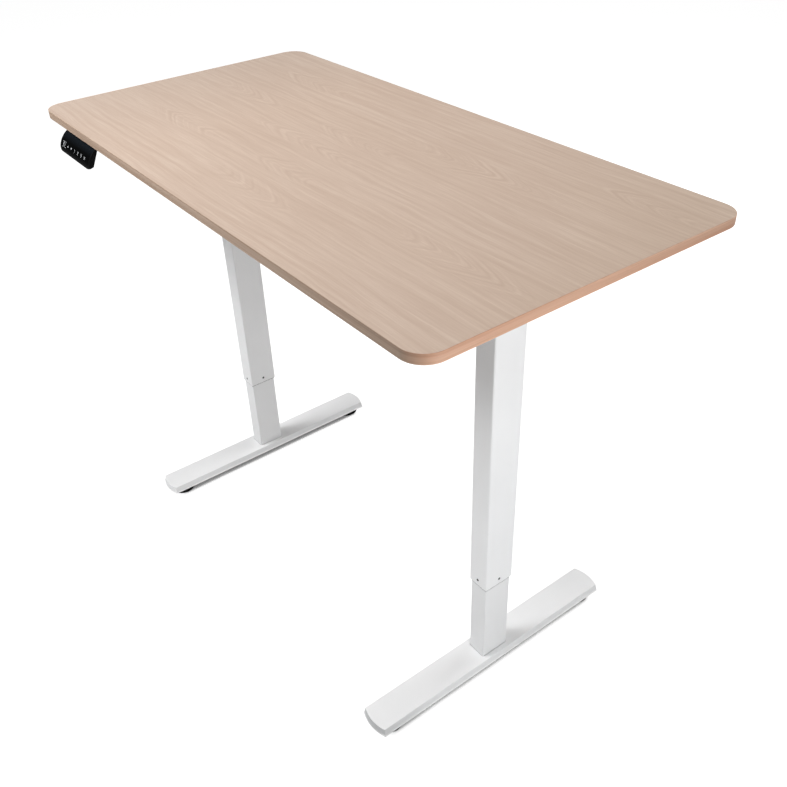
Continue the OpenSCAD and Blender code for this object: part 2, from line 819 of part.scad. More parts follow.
// frame of the key row: local Z points out of the face, local Y up along it
module on_face(x) {
    translate([handset_x + x, face_y - face_radius * cos(key_tilt), face_z + face_radius * sin(key_tilt)])
        rotate([90 - key_tilt, 0, 0]) children();
}

// run a profile drawn in Y and Z along the handset's width, less an inset at each end
module along_handset(inset) {
    translate([handset_x - handset_width / 2 + inset, 0, 0]) rotate([90, 0, 90])
        linear_extrude(handset_width - 2 * inset) children();
}

// profile of the handset's body, smaller all round by inset: a curved front and a leaning back
module handset_body(inset) {
    low = face_z + handset_bottom + inset;
    top = under_z - inset;
    intersection() {
        translate([face_y, face_z]) circle(face_radius - inset, $fn = 96);
        polygon([[face_y - face_radius - 5, low], [face_y - face_radius + 3.5 - inset / 2, low],
            [face_y - face_radius + 10.5 - inset, low + 3.7],
            [face_y - handset_lean - inset, under_z - flange_depth],
            [face_y - handset_lean - inset, top], [face_y - face_radius - 5, top]]);
    }
}

// body with the flange that is screwed up under the board
module handset_profile() {
    handset_body(0);
    translate([face_y - handset_lean - 3, under_z - flange_depth])
        square([handset_lean + 3 + flange_reach, flange_depth]);
}

// prism across the face with the handset's rounded lower corners, smaller all round by inset
module corner_prism(inset) {
    tall = 2 * face_radius + 10;
    low = handset_bottom - face_radius * sin(key_tilt) + inset;
    on_face(0) translate([0, low + tall / 2, -1.5 * face_radius]) linear_extrude(2 * face_radius)
        rounded_rect(handset_width - 2 * inset, tall, handset_corner - inset);
}

// band of the face between two radii and two angles, for the panel and what sits in it
module face_band(outer, inner) {
    reach = 2 * face_radius;
    along_handset(0) translate([face_y, face_z]) intersection() {
        difference() {
            circle(face_radius + outer, $fn = 96);
            circle(face_radius - inner, $fn = 96);
        }
        polygon([[0, 0], [-reach * cos(face_low_angle), reach * sin(face_low_angle)],
            [-reach, reach], [-reach * cos(face_top_angle), reach * sin(face_top_angle)]]);
    }
}

module face_window(x, width, height, r, grow) {
    on_face(x) translate([0, 0, -10]) linear_extrude(20)
        rounded_rect(width + 2 * grow, height + 2 * grow, r + grow);
}

// case: a shell behind the panel, with posts for the board and a flange under the worktop
module handset_case() {
    color([0.06, 0.06, 0.07]) difference() {
        union() {
            difference() {
                intersection() {
                    along_handset(-cut) handset_profile();
                    corner_prism(0);
                }
                intersection() {
                    along_handset(-cut) handset_body(handset_wall);
                    corner_prism(handset_wall);
                }
            }
            intersection() {
                along_handset(handset_wall) handset_body(handset_wall / 2);
                for (x = [-1, 0, 1]) on_face(x * (handset_board_width / 2 - 5))
                    translate([0, board_rise, -20]) cylinder(r = 2, h = 20 - board_drop - board_sheet);
            }
        }
        intersection() {
            face_band(5, panel_wall + seat_gap);
            corner_prism(handset_wall);
        }
        wood_screw_holes();
        for (x = handset_screw_x) translate([x, handset_screw_y, 0])
            post(screw_head_radius + 1, under_z - flange_depth - cut, under_z - flange_depth / 2);
    }
}

module handset_panel() {
    color([0.03, 0.03, 0.035]) difference() {
        intersection() {
            face_band(0, panel_wall);
            corner_prism(handset_wall + seat_gap);
        }
        for (k = [0:5]) face_window(first_key + k * key_pitch, key_width, key_height, key_corner, sliding_gap);
        face_window(display_x, display_width, display_height, 1, seat_gap);
    }
}

module display_lens() {
    color([0.1, 0.1, 0.12]) intersection() {
        face_band(-0.05, panel_wall);
        face_window(display_x, display_width, display_height, 1, 0);
    }
}

module key(k) {
    color([0.05, 0.05, 0.055]) intersection() {
        face_band(key_lift, key_depth);
        face_window(first_key + k * key_pitch, key_width, key_height, key_corner, 0);
    }
}

// board behind the keys, on posts in the case, with the digit display and a switch for each key
module handset_board() {
    color([0.1, 0.35, 0.2]) on_face(0) {
        translate([0, board_rise, -board_drop - board_sheet]) linear_extrude(board_sheet)
            square([handset_board_width, handset_board_height], center = true);
        translate([display_x, 0, -board_drop]) linear_extrude(board_drop - panel_wall - 1.2)
            square([display_width - 3, display_height - 3], center = true);
        for (k = [0:5]) translate([first_key + k * key_pitch, 0, -board_drop])
            cylinder(r = 2, h = board_drop - key_depth - key_travel - 0.3);
    }
}

desktop();
edge_band();
desktop_screws();
side_bracket(-1);  // left_side_bracket
side_bracket(1);  // right_side_bracket
cross_rail(-1);  // front_cross_rail
cross_rail(1);  // back_cross_rail
head_frame(-1);  // left_head_frame
head_frame(1);  // right_head_frame
frame_bolts();
upper_tube(-1);  // left_upper_tube
upper_tube(1);  // right_upper_tube
lower_glide(-1);  // left_lower_glide
lower_glide(1);  // right_lower_glide
gear_housing(-1);  // left_gear_housing
gear_housing(1);  // right_gear_housing
thrust_bearing(-1);  // left_thrust_bearing
thrust_bearing(1);  // right_thrust_bearing
lead_screw(-1);  // left_lead_screw
lead_screw(1);  // right_lead_screw
screw_gear(-1);  // left_bevel_gear
screw_gear(1);  // right_bevel_gear
cross_shaft();
pinion(-1);  // left_pinion
pinion(1);  // right_pinion
drive_wheel();
motor_can();
motor_gear_case();
motor_gear_cover();
control_box_base();
control_box_cover();
mains_inlet();
control_board();
lead_sockets();
handset_case();
handset_panel();
display_lens();
handset_board();
key(0);  // key_up
key(1);  // key_down
key(2);  // key_1
key(3);  // key_2
key(4);  // key_3
key(5);  // key_memory
foot(-1);  // left_foot
foot(1);  // right_foot
base_plate(-1);  // left_base_plate
base_plate(1);  // right_base_plate
foot_bolts(-1);  // left_foot_bolts
foot_bolts(1);  // right_foot_bolts
lower_tube(-1);  // left_lower_tube
lower_tube(1);  // right_lower_tube
upper_glide(-1);  // left_upper_glide
upper_glide(1);  // right_upper_glide
drive_nut(-1);  // left_drive_nut
drive_nut(1);  // right_drive_nut
levelling_foot(-1, -1);  // left_front_levelling_foot
levelling_foot(-1, 1);  // left_back_levelling_foot
levelling_foot(1, -1);  // right_front_levelling_foot
levelling_foot(1, 1);  // right_back_levelling_foot
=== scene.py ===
import json
import math

import bmesh
import bpy
from mathutils import Matrix, Vector

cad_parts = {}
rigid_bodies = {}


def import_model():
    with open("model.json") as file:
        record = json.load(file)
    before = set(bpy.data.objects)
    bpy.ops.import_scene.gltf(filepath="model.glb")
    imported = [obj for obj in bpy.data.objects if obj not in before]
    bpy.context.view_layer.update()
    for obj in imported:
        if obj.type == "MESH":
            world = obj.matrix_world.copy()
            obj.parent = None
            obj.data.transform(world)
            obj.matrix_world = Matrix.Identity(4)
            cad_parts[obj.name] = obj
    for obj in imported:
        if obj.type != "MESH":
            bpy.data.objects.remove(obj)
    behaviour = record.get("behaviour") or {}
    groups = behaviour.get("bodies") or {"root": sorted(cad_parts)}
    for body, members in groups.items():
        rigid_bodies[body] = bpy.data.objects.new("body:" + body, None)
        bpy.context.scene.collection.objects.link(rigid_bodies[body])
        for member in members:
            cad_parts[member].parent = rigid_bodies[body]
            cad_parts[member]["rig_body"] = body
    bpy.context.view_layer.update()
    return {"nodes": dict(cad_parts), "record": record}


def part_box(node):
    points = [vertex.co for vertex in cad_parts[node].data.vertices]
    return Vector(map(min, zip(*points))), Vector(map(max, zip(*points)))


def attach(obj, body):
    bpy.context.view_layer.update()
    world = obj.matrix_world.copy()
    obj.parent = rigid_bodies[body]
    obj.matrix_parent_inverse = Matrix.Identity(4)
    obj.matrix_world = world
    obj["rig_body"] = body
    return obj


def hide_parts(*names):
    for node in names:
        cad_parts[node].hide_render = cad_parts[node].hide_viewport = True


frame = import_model()
nodes = frame["nodes"]
scene = bpy.context.scene
print("frame loaded:", len(nodes), "solids")


# small helpers for node trees

def srgb(red, green, blue):
    # a colour written as it is seen, 0 to 255
    seen = [c / 255 for c in (red, green, blue)]
    return tuple(((c + 0.055) / 1.055) ** 2.4 if c > 0.04 else c / 12.92 for c in seen) + (1.0,)


def place(tree, kind, inputs=None, **settings):
    # adds a node; an input is a value or the socket that feeds it
    node = tree.nodes.new(kind)
    for key, value in settings.items():
        setattr(node, key, value)
    for key, value in (inputs or {}).items():
        socket = node.inputs[key]
        if isinstance(value, bpy.types.NodeSocket):
            tree.links.new(value, socket)
        else:
            socket.default_value = value
    return node


def sums(tree, operation, a, b=0.0, c=0.0):
    return place(tree, "ShaderNodeMath", {0: a, 1: b, 2: c}, operation=operation).outputs[0]


def objectPlace(tree):
    # object coordinates in metres
    return place(tree, "ShaderNodeTexCoord").outputs["Object"]


def objectParts(tree):
    # the same as X, Y and Z
    return place(tree, "ShaderNodeSeparateXYZ", {0: objectPlace(tree)}).outputs


def stretched(tree, scale, shift=(0.0, 0.0, 0.0)):
    # object coordinates multiplied per axis
    return place(tree, "ShaderNodeMapping", {"Vector": objectPlace(tree), "Scale": scale,
                 "Location": shift}).outputs[0]


def noise(tree, scale, size=1.0, detail=3.0, rough=0.5, shift=(0.0, 0.0, 0.0)):
    return place(tree, "ShaderNodeTexNoise", {"Vector": stretched(tree, scale, shift), "Scale": size,
                 "Detail": detail, "Roughness": rough}).outputs["Fac"]


def spread(tree, value, low, high, toLow=0.0, toHigh=1.0):
    # low to high becomes toLow to toHigh, and what lies past them stays at the ends
    return place(tree, "ShaderNodeMapRange", {"Value": value, "From Min": low, "From Max": high,
                 "To Min": toLow, "To Max": toHigh}, clamp=True).outputs["Result"]


def blendColours(tree, amount, first, second, kind="MIX"):
    return place(tree, "ShaderNodeMix", {0: amount, 6: first, 7: second}, data_type="RGBA",
                 blend_type=kind).outputs[2]


def multiplied(tree, first, second):
    return blendColours(tree, 1.0, first, second, "MULTIPLY")


def newFinish(name, **fixed):
    # a material with a Principled shader; fixed holds what is the same all over
    finish = bpy.data.materials.new(name)
    finish.use_nodes = True
    tree = finish.node_tree
    shader = tree.nodes["Principled BSDF"]
    for key, value in fixed.items():
        shader.inputs[key].default_value = value
    return finish, tree, shader


def connect(tree, shader, colour=None, rough=None, height=None, depth=0.001):
    if colour is not None:
        tree.links.new(colour, shader.inputs["Base Color"])
    if rough is not None:
        tree.links.new(rough, shader.inputs["Roughness"])
    if height is not None:
        bump = place(tree, "ShaderNodeBump", {"Height": height, "Strength": 1.0, "Distance": depth})
        tree.links.new(bump.outputs[0], shader.inputs["Normal"])


# camera

cameraView = {"place": (1.2513, -0.8119, 1.4609), "azimuth": 54.450, "elevation": 35.197, "roll": -2.518,
              "lens": 41.103583, "sensor": 36.0, "shift": (0.00928844, -0.00726811), "clip": (0.02, 60.0)}


def addCamera():
    a, e, r = (math.radians(cameraView[k]) for k in ("azimuth", "elevation", "roll"))
    back = Vector((math.sin(a) * math.cos(e), -math.cos(a) * math.cos(e), math.sin(e)))
    level = (-back).cross(Vector((0, 0, 1))).normalized()
    upward = level.cross(-back)
    across = level * math.cos(r) + upward * math.sin(r)
    upward = upward * math.cos(r) - level * math.sin(r)
    data = bpy.data.cameras.new("camera")
    data.sensor_width = cameraView["sensor"]
    data.lens = cameraView["lens"]
    data.shift_x, data.shift_y = cameraView["shift"]
    data.clip_start, data.clip_end = cameraView["clip"]
    camera = bpy.data.objects.new("camera", data)
    scene.collection.objects.link(camera)
    turn = Matrix((across, upward, back)).transposed().to_4x4()
    camera.matrix_world = Matrix.Translation(cameraView["place"]) @ turn
    scene.camera = camera


addCamera()


# studio

studio = {"world": 0.10, "floorSize": 14.0, "floorGlow": 0.94, "floorShade": 0.36, "floorGrain": 0.985,
          # what the paper throws back: less of it round the calm spot at the right foot's front end
          "floorBounce": 0.80, "calmBounce": 0.10, "calmSpot": (0.45, -0.35, 0.0), "calmReach": (0.05, 0.21),
          # shade under the feet: how closed the corner is where it is full and where it ends,
          # each for the left and the right foot
          "contactReach": 0.090, "contactSides": (-0.2, 0.2), "contactFrom": (0.29, 0.31),
          "contactTo": (0.50, 0.445), "contactDark": 0.17, "contactEnds": (0.240, 0.262),
          "lamps": [  # name, place, aim, size, power
              ("keyPanel", (-1.0, -2.0, 3.0), (-0.3, 0.0, 0.3), 1.4, 62.4),
              ("skyPanel", (-1.3, -1.2, 2.6), (-0.1, -0.1, 0.9), 1.6, 23.8),
              ("topPanel", (0.0, 0.4, 3.2), (0.0, 0.0, 0.9), 1.8, 16.1),
              ("sidePanel", (2.4, -0.2, 1.35), (0.4, 0.0, 0.45), 1.4, 7.1),
              ("backPanel", (0.2, 2.6, 1.6), (0.0, 0.0, 0.5), 1.6, 31.3),
              ("nearPanel", (1.45, -0.1, 0.75), (0.44, 0.0, 0.6), 0.5, 5.2)]}


def seenRays(tree):
    # 1 where the ray comes from the camera or through a see-through surface
    rays = place(tree, "ShaderNodeLightPath").outputs
    return sums(tree, "MAXIMUM", rays["Is Camera Ray"], rays["Is Transmission Ray"])


def addWorld():
    # dim as a light, white where it is seen
    world = bpy.data.worlds.new("studioWorld")
    scene.world = world
    world.use_nodes = True
    tree = world.node_tree
    background = tree.nodes["Background"]
    background.inputs["Color"].default_value = (1, 1, 1, 1)
    strength = sums(tree, "MULTIPLY_ADD", seenRays(tree), 1.0 - studio["world"], studio["world"])
    tree.links.new(strength, background.inputs["Strength"])


def contactShade(tree, here):
    # 1 on the open floor, dark close under the feet, and none past their ends
    parts = place(tree, "ShaderNodeSeparateXYZ", {0: here}).outputs
    corner = place(tree, "ShaderNodeAmbientOcclusion", {"Distance": studio["contactReach"]}, samples=12)
    low = spread(tree, parts["X"], *studio["contactSides"], *studio["contactFrom"])
    high = spread(tree, parts["X"], *studio["contactSides"], *studio["contactTo"])
    under = spread(tree, corner.outputs["AO"], low, high, studio["contactDark"], 1.0)
    along = sums(tree, "ABSOLUTE", parts["Y"])
    return sums(tree, "MAXIMUM", under, spread(tree, along, *studio["contactEnds"]))


def makeFloorPaper():
    # glowing white paper with the contact shade where it is seen, plain paper for all other rays,
    # and nothing at all from below
    finish = bpy.data.materials.new("floorPaper")
    finish.use_nodes = True
    tree = finish.node_tree
    tree.nodes.clear()
    grain = noise(tree, (1, 1, 1), 3.0, 2.0)
    here = objectPlace(tree)
    away = place(tree, "ShaderNodeVectorMath", {0: here, 1: studio["calmSpot"]},
                 operation="DISTANCE").outputs["Value"]
    bounce = spread(tree, away, *studio["calmReach"], studio["calmBounce"], studio["floorBounce"])
    paper = place(tree, "ShaderNodeBsdfDiffuse", {"Color": bounce})
    tones = [(studio["floorShade"] * share,) * 3 + (1,) for share in (1.0, studio["floorGrain"])]
    tone = blendColours(tree, spread(tree, grain, 0.3, 0.7), *tones)
    lit = place(tree, "ShaderNodeBsdfDiffuse", {"Color": tone})
    shine = place(tree, "ShaderNodeEmission", {"Color": (1, 1, 1, 1), "Strength": studio["floorGlow"]})
    bright = place(tree, "ShaderNodeAddShader", {0: lit.outputs[0], 1: shine.outputs[0]})
    dark = place(tree, "ShaderNodeEmission", {"Color": (0, 0, 0, 1), "Strength": 0.0})
    touch = contactShade(tree, here)
    seen = place(tree, "ShaderNodeMixShader", {0: touch, 1: dark.outputs[0], 2: bright.outputs[0]})
    upper = place(tree, "ShaderNodeMixShader", {0: seenRays(tree), 1: paper.outputs[0], 2: seen.outputs[0]})
    below = place(tree, "ShaderNodeBsdfTransparent")
    facing = place(tree, "ShaderNodeNewGeometry").outputs["Backfacing"]
    whole = place(tree, "ShaderNodeMixShader", {0: facing, 1: upper.outputs[0], 2: below.outputs[0]})
    tree.links.new(whole.outputs[0], place(tree, "ShaderNodeOutputMaterial").inputs["Surface"])
    return finish


def addFloor():
    mesh = bpy.data.meshes.new("studioFloor")
    half = studio["floorSize"] / 2
    corners = [(-half, -half, 0), (half, -half, 0), (half, half, 0), (-half, half, 0)]
    mesh.from_pydata(corners, [], [(0, 1, 2, 3)])
    floor = bpy.data.objects.new("studioFloor", mesh)
    scene.collection.objects.link(floor)
    mesh.materials.append(makeFloorPaper())


def addLamps():
    for name, spot, aim, size, power in studio["lamps"]:
        data = bpy.data.lights.new(name, "AREA")
        data.shape, data.size, data.energy = "DISK", size, power
        lamp = bpy.data.objects.new(name, data)
        lamp.location = spot
        lamp.rotation_mode = "QUATERNION"
        lamp.rotation_quaternion = (Vector(aim) - Vector(spot)).to_track_quat("-Z", "Y")
        lamp.visible_camera = False
        scene.collection.objects.link(lamp)


addWorld()
addFloor()
addLamps()
scene.view_settings.view_transform = "Standard"
print("camera and studio ready")


# finishes

laminate = {"ground": ((216, 197, 181), (212, 192, 175)), "wander": 0.013, "crestShare": 0.70,
            # streaks along X, the coarse ones first: scale, detail and roughness, where they start and
            # are full, how much of the tint they take
            "streaks": {"noise": (3.2, 118.0, 3.0, 0.55), "range": (0.34, 0.66, 0.0, 0.68),
                        "tint": (190, 166, 149)},
            "fine": {"noise": (11.0, 420.0, 2.0, 0.6), "range": (0.32, 0.68, 0.0, 0.52),
                     "tint": (192, 168, 151)},
            "fibre": {"noise": (22.0, 1300.0, 2.0, 0.6), "range": (0.3, 0.7, 0.0, 0.30),
                      "tint": (188, 164, 147)},
            "pores": (48.0, 1500.0, 1.0), "poreRange": (0.62, 0.76), "poreShare": 0.30,
            "poreTint": (172, 146, 126),
            # painted shade towards the far right corner, then a darker, cooler tint at the left end
            "farRange": (0.30, 0.72), "farTint": (0.91, 0.895, 0.86, 1),
            "leftRange": (-0.25, -0.60), "leftTint": (0.925, 0.945, 0.965, 1),
            "crests": [  # middle x, y, half length, half width, way the arches point, gap between them
                (0.225, 0.120, 0.200, 0.034, 1, 0.031), (-0.020, 0.056, 0.125, 0.030, -1, 0.036),
                (-0.080, -0.015, 0.170, 0.026, -1, 0.040), (0.010, -0.108, 0.090, 0.026, -1, 0.042),
                (0.460, -0.112, 0.150, 0.034, 1, 0.030), (0.060, -0.192, 0.130, 0.028, 1, 0.036),
                (-0.390, 0.050, 0.130, 0.030, 1, 0.040), (-0.330, -0.120, 0.120, 0.030, -1, 0.034),
                (-0.360, 0.190, 0.140, 0.032, -1, 0.038), (0.480, 0.215, 0.110, 0.026, -1, 0.034)]}


def crestLines(tree, x, y, crest, number):
    # growth lines that bend round into arches inside an oval patch, and how strongly they show there
    middleX, middleY, halfLength, halfWidth, way, gap = crest
    u = sums(tree, "SUBTRACT", x, middleX)
    v = sums(tree, "SUBTRACT", y, middleY)
    away = sums(tree, "SQRT", sums(tree, "MULTIPLY_ADD", v, v, 0.00004))
    turn = sums(tree, "MULTIPLY_ADD", away, 3.1, sums(tree, "MULTIPLY", u, float(way)))
    ripple = noise(tree, (9.0, 34.0, 1.0), 1.0, 2.0, 0.5, (number, 0.0, 0.0))
    ring = sums(tree, "MULTIPLY_ADD", turn, 1.0 / gap, ripple)
    lines = place(tree, "ShaderNodeTexNoise", {"W": sums(tree, "MULTIPLY_ADD", ring, 2.0, number * 9.3),
                  "Scale": 1.0, "Detail": 1.0, "Roughness": 0.5}, noise_dimensions="1D").outputs["Fac"]
    oval = sums(tree, "ADD", sums(tree, "POWER", sums(tree, "DIVIDE", u, halfLength), 2.0),
                sums(tree, "POWER", sums(tree, "DIVIDE", v, halfWidth), 2.0))
    return lines, spread(tree, oval, 1.15, 0.25)


def streakNoise(tree, flat, layer):
    scaleX, scaleY, detail, rough = laminate[layer]["noise"]
    vector = place(tree, "ShaderNodeMapping", {"Vector": flat, "Scale": (scaleX, scaleY, 1.0)}).outputs[0]
    return place(tree, "ShaderNodeTexNoise", {"Vector": vector, "Scale": 1.0, "Detail": detail,
                 "Roughness": rough}).outputs["Fac"]


def makeLaminate():
    # printed beech: straight streaks along X, patches of cathedral arches, fibres and short pores
    finish, tree, shader = newFinish("beechLaminate", **{"Specular IOR Level": 0.3})
    parts = objectParts(tree)
    drift = sums(tree, "SUBTRACT", noise(tree, (3.4, 12.0, 1.0), 1.0, 3.0, 0.55, (0.37, 0.21, 0.0)), 0.5)
    y = sums(tree, "MULTIPLY_ADD", drift, laminate["wander"] * 2, parts["Y"])
    flat = place(tree, "ShaderNodeCombineXYZ", {"X": parts["X"], "Y": y}).outputs[0]
    patterns = {layer: streakNoise(tree, flat, layer) for layer in ("streaks", "fine", "fibre")}
    for number, crest in enumerate(laminate["crests"]):
        lines, shown = crestLines(tree, parts["X"], y, crest, number + 1.0)
        amount = sums(tree, "MULTIPLY", shown, laminate["crestShare"])
        both = place(tree, "ShaderNodeMix", {0: amount, 2: patterns["streaks"], 3: lines})
        patterns["streaks"] = both.outputs[0]
    pores = spread(tree, noise(tree, laminate["pores"], 1.0, 1.0, 0.5), *laminate["poreRange"])
    broad = noise(tree, (1.1, 7.0, 1.0), 1.0, 3.0, 0.5, (7.0, 2.0, 0.0))
    light, dark = laminate["ground"]
    colour = blendColours(tree, spread(tree, broad, 0.3, 0.7), srgb(*light), srgb(*dark))
    for layer, pattern in patterns.items():
        amount = spread(tree, pattern, *laminate[layer]["range"])
        colour = blendColours(tree, amount, colour, srgb(*laminate[layer]["tint"]))
    amount = sums(tree, "MULTIPLY", pores, laminate["poreShare"])
    colour = blendColours(tree, amount, colour, srgb(*laminate["poreTint"]))
    # painted shade: warmer and darker towards the far right corner, where less light falls; a little darker
    # and cooler at the left end
    far = spread(tree, sums(tree, "MULTIPLY_ADD", parts["Y"], 0.6, parts["X"]), *laminate["farRange"])
    farShadeMix = blendColours(tree, sums(tree, "POWER", far, 2.0), (1, 1, 1, 1), laminate["farTint"])
    left = spread(tree, parts["X"], *laminate["leftRange"])
    cool = blendColours(tree, left, (1, 1, 1, 1), laminate["leftTint"])
    colour = multiplied(tree, multiplied(tree, colour, farShadeMix), cool)
    sunk = sums(tree, "MULTIPLY_ADD", pores, -0.8, sums(tree, "MULTIPLY", patterns["fibre"], 0.35))
    height = sums(tree, "MULTIPLY_ADD", patterns["streaks"], -0.3, sunk)
    connect(tree, shader, colour, spread(tree, patterns["fibre"], 0.2, 0.8, 0.44, 0.56), height, 0.00004)
    return finish


edgeBand = {"layers": (1.6, 1.6, 190.0), "fine": (12.0, 12.0, 1500.0), "fineTint": (168, 134, 112),
            "endsFrom": (0.566, 0.596),  # distance from the middle at which the long side turns into the end
            # long sides in a shaded tone, ends in a lit tone (painted light), each with painted shade along
            # it: where it starts and is full, and the share of the tone left there
            "longSide": ((192, 169, 149), (165, 140, 120)), "longFall": (0.05, 0.56, 1.0, 0.76),
            "endSide": ((219, 180, 155), (194, 148, 122)), "endFall": (-0.28, 0.28, 1.14, 0.86)}


def makeEdgeLaminate():
    # band round the board: layers of tone that run along it; the two ends are painted lighter and redder than
    # the long sides as painted light from the side, and painted shade darkens the long sides towards the
    # right and the ends towards the back
    finish, tree, shader = newFinish("beechEdge", **{"Specular IOR Level": 0.3})
    parts = objectParts(tree)
    band = spread(tree, noise(tree, edgeBand["layers"], 1.0, 2.0, 0.5), 0.36, 0.64)
    paintedSideTones = []
    for roll, axis in (("long", "X"), ("end", "Y")):
        light, dark = edgeBand[roll + "Side"]
        tone = blendColours(tree, band, srgb(*light), srgb(*dark))
        paintedSideTones.append(multiplied(tree, tone, spread(tree, parts[axis], *edgeBand[roll + "Fall"])))
    ends = spread(tree, sums(tree, "ABSOLUTE", parts["X"]), *edgeBand["endsFrom"])
    ground = blendColours(tree, ends, *paintedSideTones)
    fine = noise(tree, edgeBand["fine"], 1.0, 3.0, 0.6)
    colour = blendColours(tree, spread(tree, fine, 0.35, 0.7, 0.0, 0.4), ground, srgb(*edgeBand["fineTint"]))
    connect(tree, shader, colour, spread(tree, fine, 0.2, 0.8, 0.42, 0.54), fine, 0.00004)
    return finish


def makePaint(name, light, dark, rough=0.36, peel=900.0, seam=(0.0045, 0.35, 0.85, 0.42), seamFrom=None,
              duskUp=None):
    # powder coat: orange peel, slow changes of tone and gloss, and painted shade
    # painted crease shade from ambient occlusion, in seams and under overhangs: how far it reaches, how
    # closed the corner is where it starts and ends, how dark it gets the height above which the painted
    # crease shade shows
    # painted shade under the board: the heights between which the coat gets darker, and the share of its tone
    # that is left
    finish, tree, shader = newFinish(name, **{"Specular IOR Level": 0.45})
    slow = noise(tree, (6.0, 6.0, 6.0), 1.0, 3.0, 0.5)
    skin = noise(tree, (1.0, 1.0, 1.0), peel, 2.0, 0.5)
    specks = spread(tree, noise(tree, (1.0, 1.0, 1.0), peel * 2.6, 1.0, 0.5), 0.66, 0.8)
    ground = blendColours(tree, spread(tree, slow, 0.3, 0.7), light, dark)
    coat = blendColours(tree, sums(tree, "MULTIPLY", specks, 0.25), ground, dark)
    reach, start, end, darkest = seam
    # painted shade: darker where ambient occlusion finds a seam or crease close by
    near = place(tree, "ShaderNodeAmbientOcclusion", {"Distance": reach}, samples=8).outputs["AO"]
    shade = spread(tree, near, start, end, darkest, 1.0)
    if seamFrom is not None:
        low = spread(tree, objectParts(tree)["Z"], seamFrom - 0.02, seamFrom, 1.0, 0.0)
        shade = sums(tree, "MAXIMUM", shade, low)
    # painted shade: darker towards the top, where the board shades the column
    if duskUp is not None:
        start, end, darkest = duskUp
        boardShade = spread(tree, objectParts(tree)["Z"], start, end, 1.0, darkest)
        shade = sums(tree, "MULTIPLY", shade, boardShade)
    gloss = sums(tree, "MULTIPLY_ADD", slow, 0.10, spread(tree, skin, 0.3, 0.7, rough - 0.06, rough + 0.03))
    connect(tree, shader, multiplied(tree, coat, shade), gloss, skin, 0.00002)
    return finish


def makeMetal(name, light, dark, rough=0.3, grain=(60.0, 60.0, 60.0), depth=0.00001):
    # plated, ground or cut metal: tool marks along one axis and a cloudy tone
    finish, tree, shader = newFinish(name, **{"Metallic": 1.0})
    marks = noise(tree, grain, 1.0, 4.0, 0.6)
    cloud = noise(tree, (40.0, 40.0, 40.0), 1.0, 4.0, 0.55, (2.0, 5.0, 1.0))
    ground = blendColours(tree, spread(tree, cloud, 0.35, 0.65), light, dark)
    colour = blendColours(tree, spread(tree, marks, 0.4, 0.75, 0.0, 0.35), ground, dark)
    gloss = sums(tree, "MULTIPLY_ADD", cloud, 0.12, spread(tree, marks, 0.3, 0.7, rough - 0.08, rough + 0.1))
    connect(tree, shader, colour, gloss, marks, depth)
    return finish


def makePlastic(name, light, dark, rough=0.5, grain=1400.0, depth=0.00003, **fixed):
    # moulded plastic with a fine spark-eroded grain
    finish, tree, shader = newFinish(name, **fixed)
    pits = place(tree, "ShaderNodeTexVoronoi", {"Vector": stretched(tree, (1, 1, 1)), "Scale": grain},
                 feature="SMOOTH_F1").outputs["Distance"]
    slow = noise(tree, (18.0, 18.0, 18.0), 1.0, 3.0, 0.5)
    colour = blendColours(tree, spread(tree, slow, 0.3, 0.7), light, dark)
    gloss = sums(tree, "MULTIPLY_ADD", slow, 0.12, spread(tree, pits, 0.1, 0.7, rough - 0.1, rough))
    connect(tree, shader, colour, gloss, pits, depth)
    return finish


frontGloss = {"light": (5, 5, 6), "dark": (3, 3, 3), "sheen": (21, 26, 31), "sheenFrom": (0.876, 0.886)}


def makeFrontGloss():
    # moulded front of the handset: near black, with a cool sheen painted over its upper half as a painted
    # reflection
    finish, tree, shader = newFinish("glossBlack", **{"Specular IOR Level": 0.03})
    clouds = noise(tree, (40.0, 90.0, 90.0), 1.0, 2.0, 0.5)
    skin = noise(tree, (1.0, 1.0, 1.0), 700.0, 2.0, 0.5)
    tones = [srgb(*frontGloss[key]) for key in ("light", "dark")]
    ground = blendColours(tree, spread(tree, clouds, 0.3, 0.7), *tones)
    # painted reflection: a bluish band in the base colour over the upper half
    upper = spread(tree, objectParts(tree)["Z"], *frontGloss["sheenFrom"])
    band = sums(tree, "MULTIPLY", upper, spread(tree, clouds, 0.2, 0.6, 0.7, 1.0))
    colour = blendColours(tree, band, ground, srgb(*frontGloss["sheen"]))
    connect(tree, shader, colour, spread(tree, skin, 0.3, 0.7, 0.22, 0.28), skin, 0.000004)
    return finish


def makeCircuit():
    # solder mask with copper tracks under it and a matt surface
    finish, tree, shader = newFinish("circuitGreen")
    tracks = place(tree, "ShaderNodeTexBrick", {"Vector": stretched(tree, (1, 1, 1)), "Scale": 90.0,
                   "Mortar Size": 0.012, "Color1": srgb(24, 92, 58), "Color2": srgb(18, 78, 50),
                   "Mortar": srgb(52, 128, 84)}, offset=0.37)
    cells = place(tree, "ShaderNodeTexVoronoi", {"Vector": stretched(tree, (1, 1, 1)), "Scale": 210.0},
                  distance="CHEBYCHEV").outputs["Distance"]
    dots = spread(tree, cells, 0.14, 0.10)
    colour = blendColours(tree, dots, tracks.outputs["Color"], srgb(176, 170, 150))
    connect(tree, shader, colour, spread(tree, cells, 0.0, 0.6, 0.28, 0.42), cells, 0.00004)
    return finish


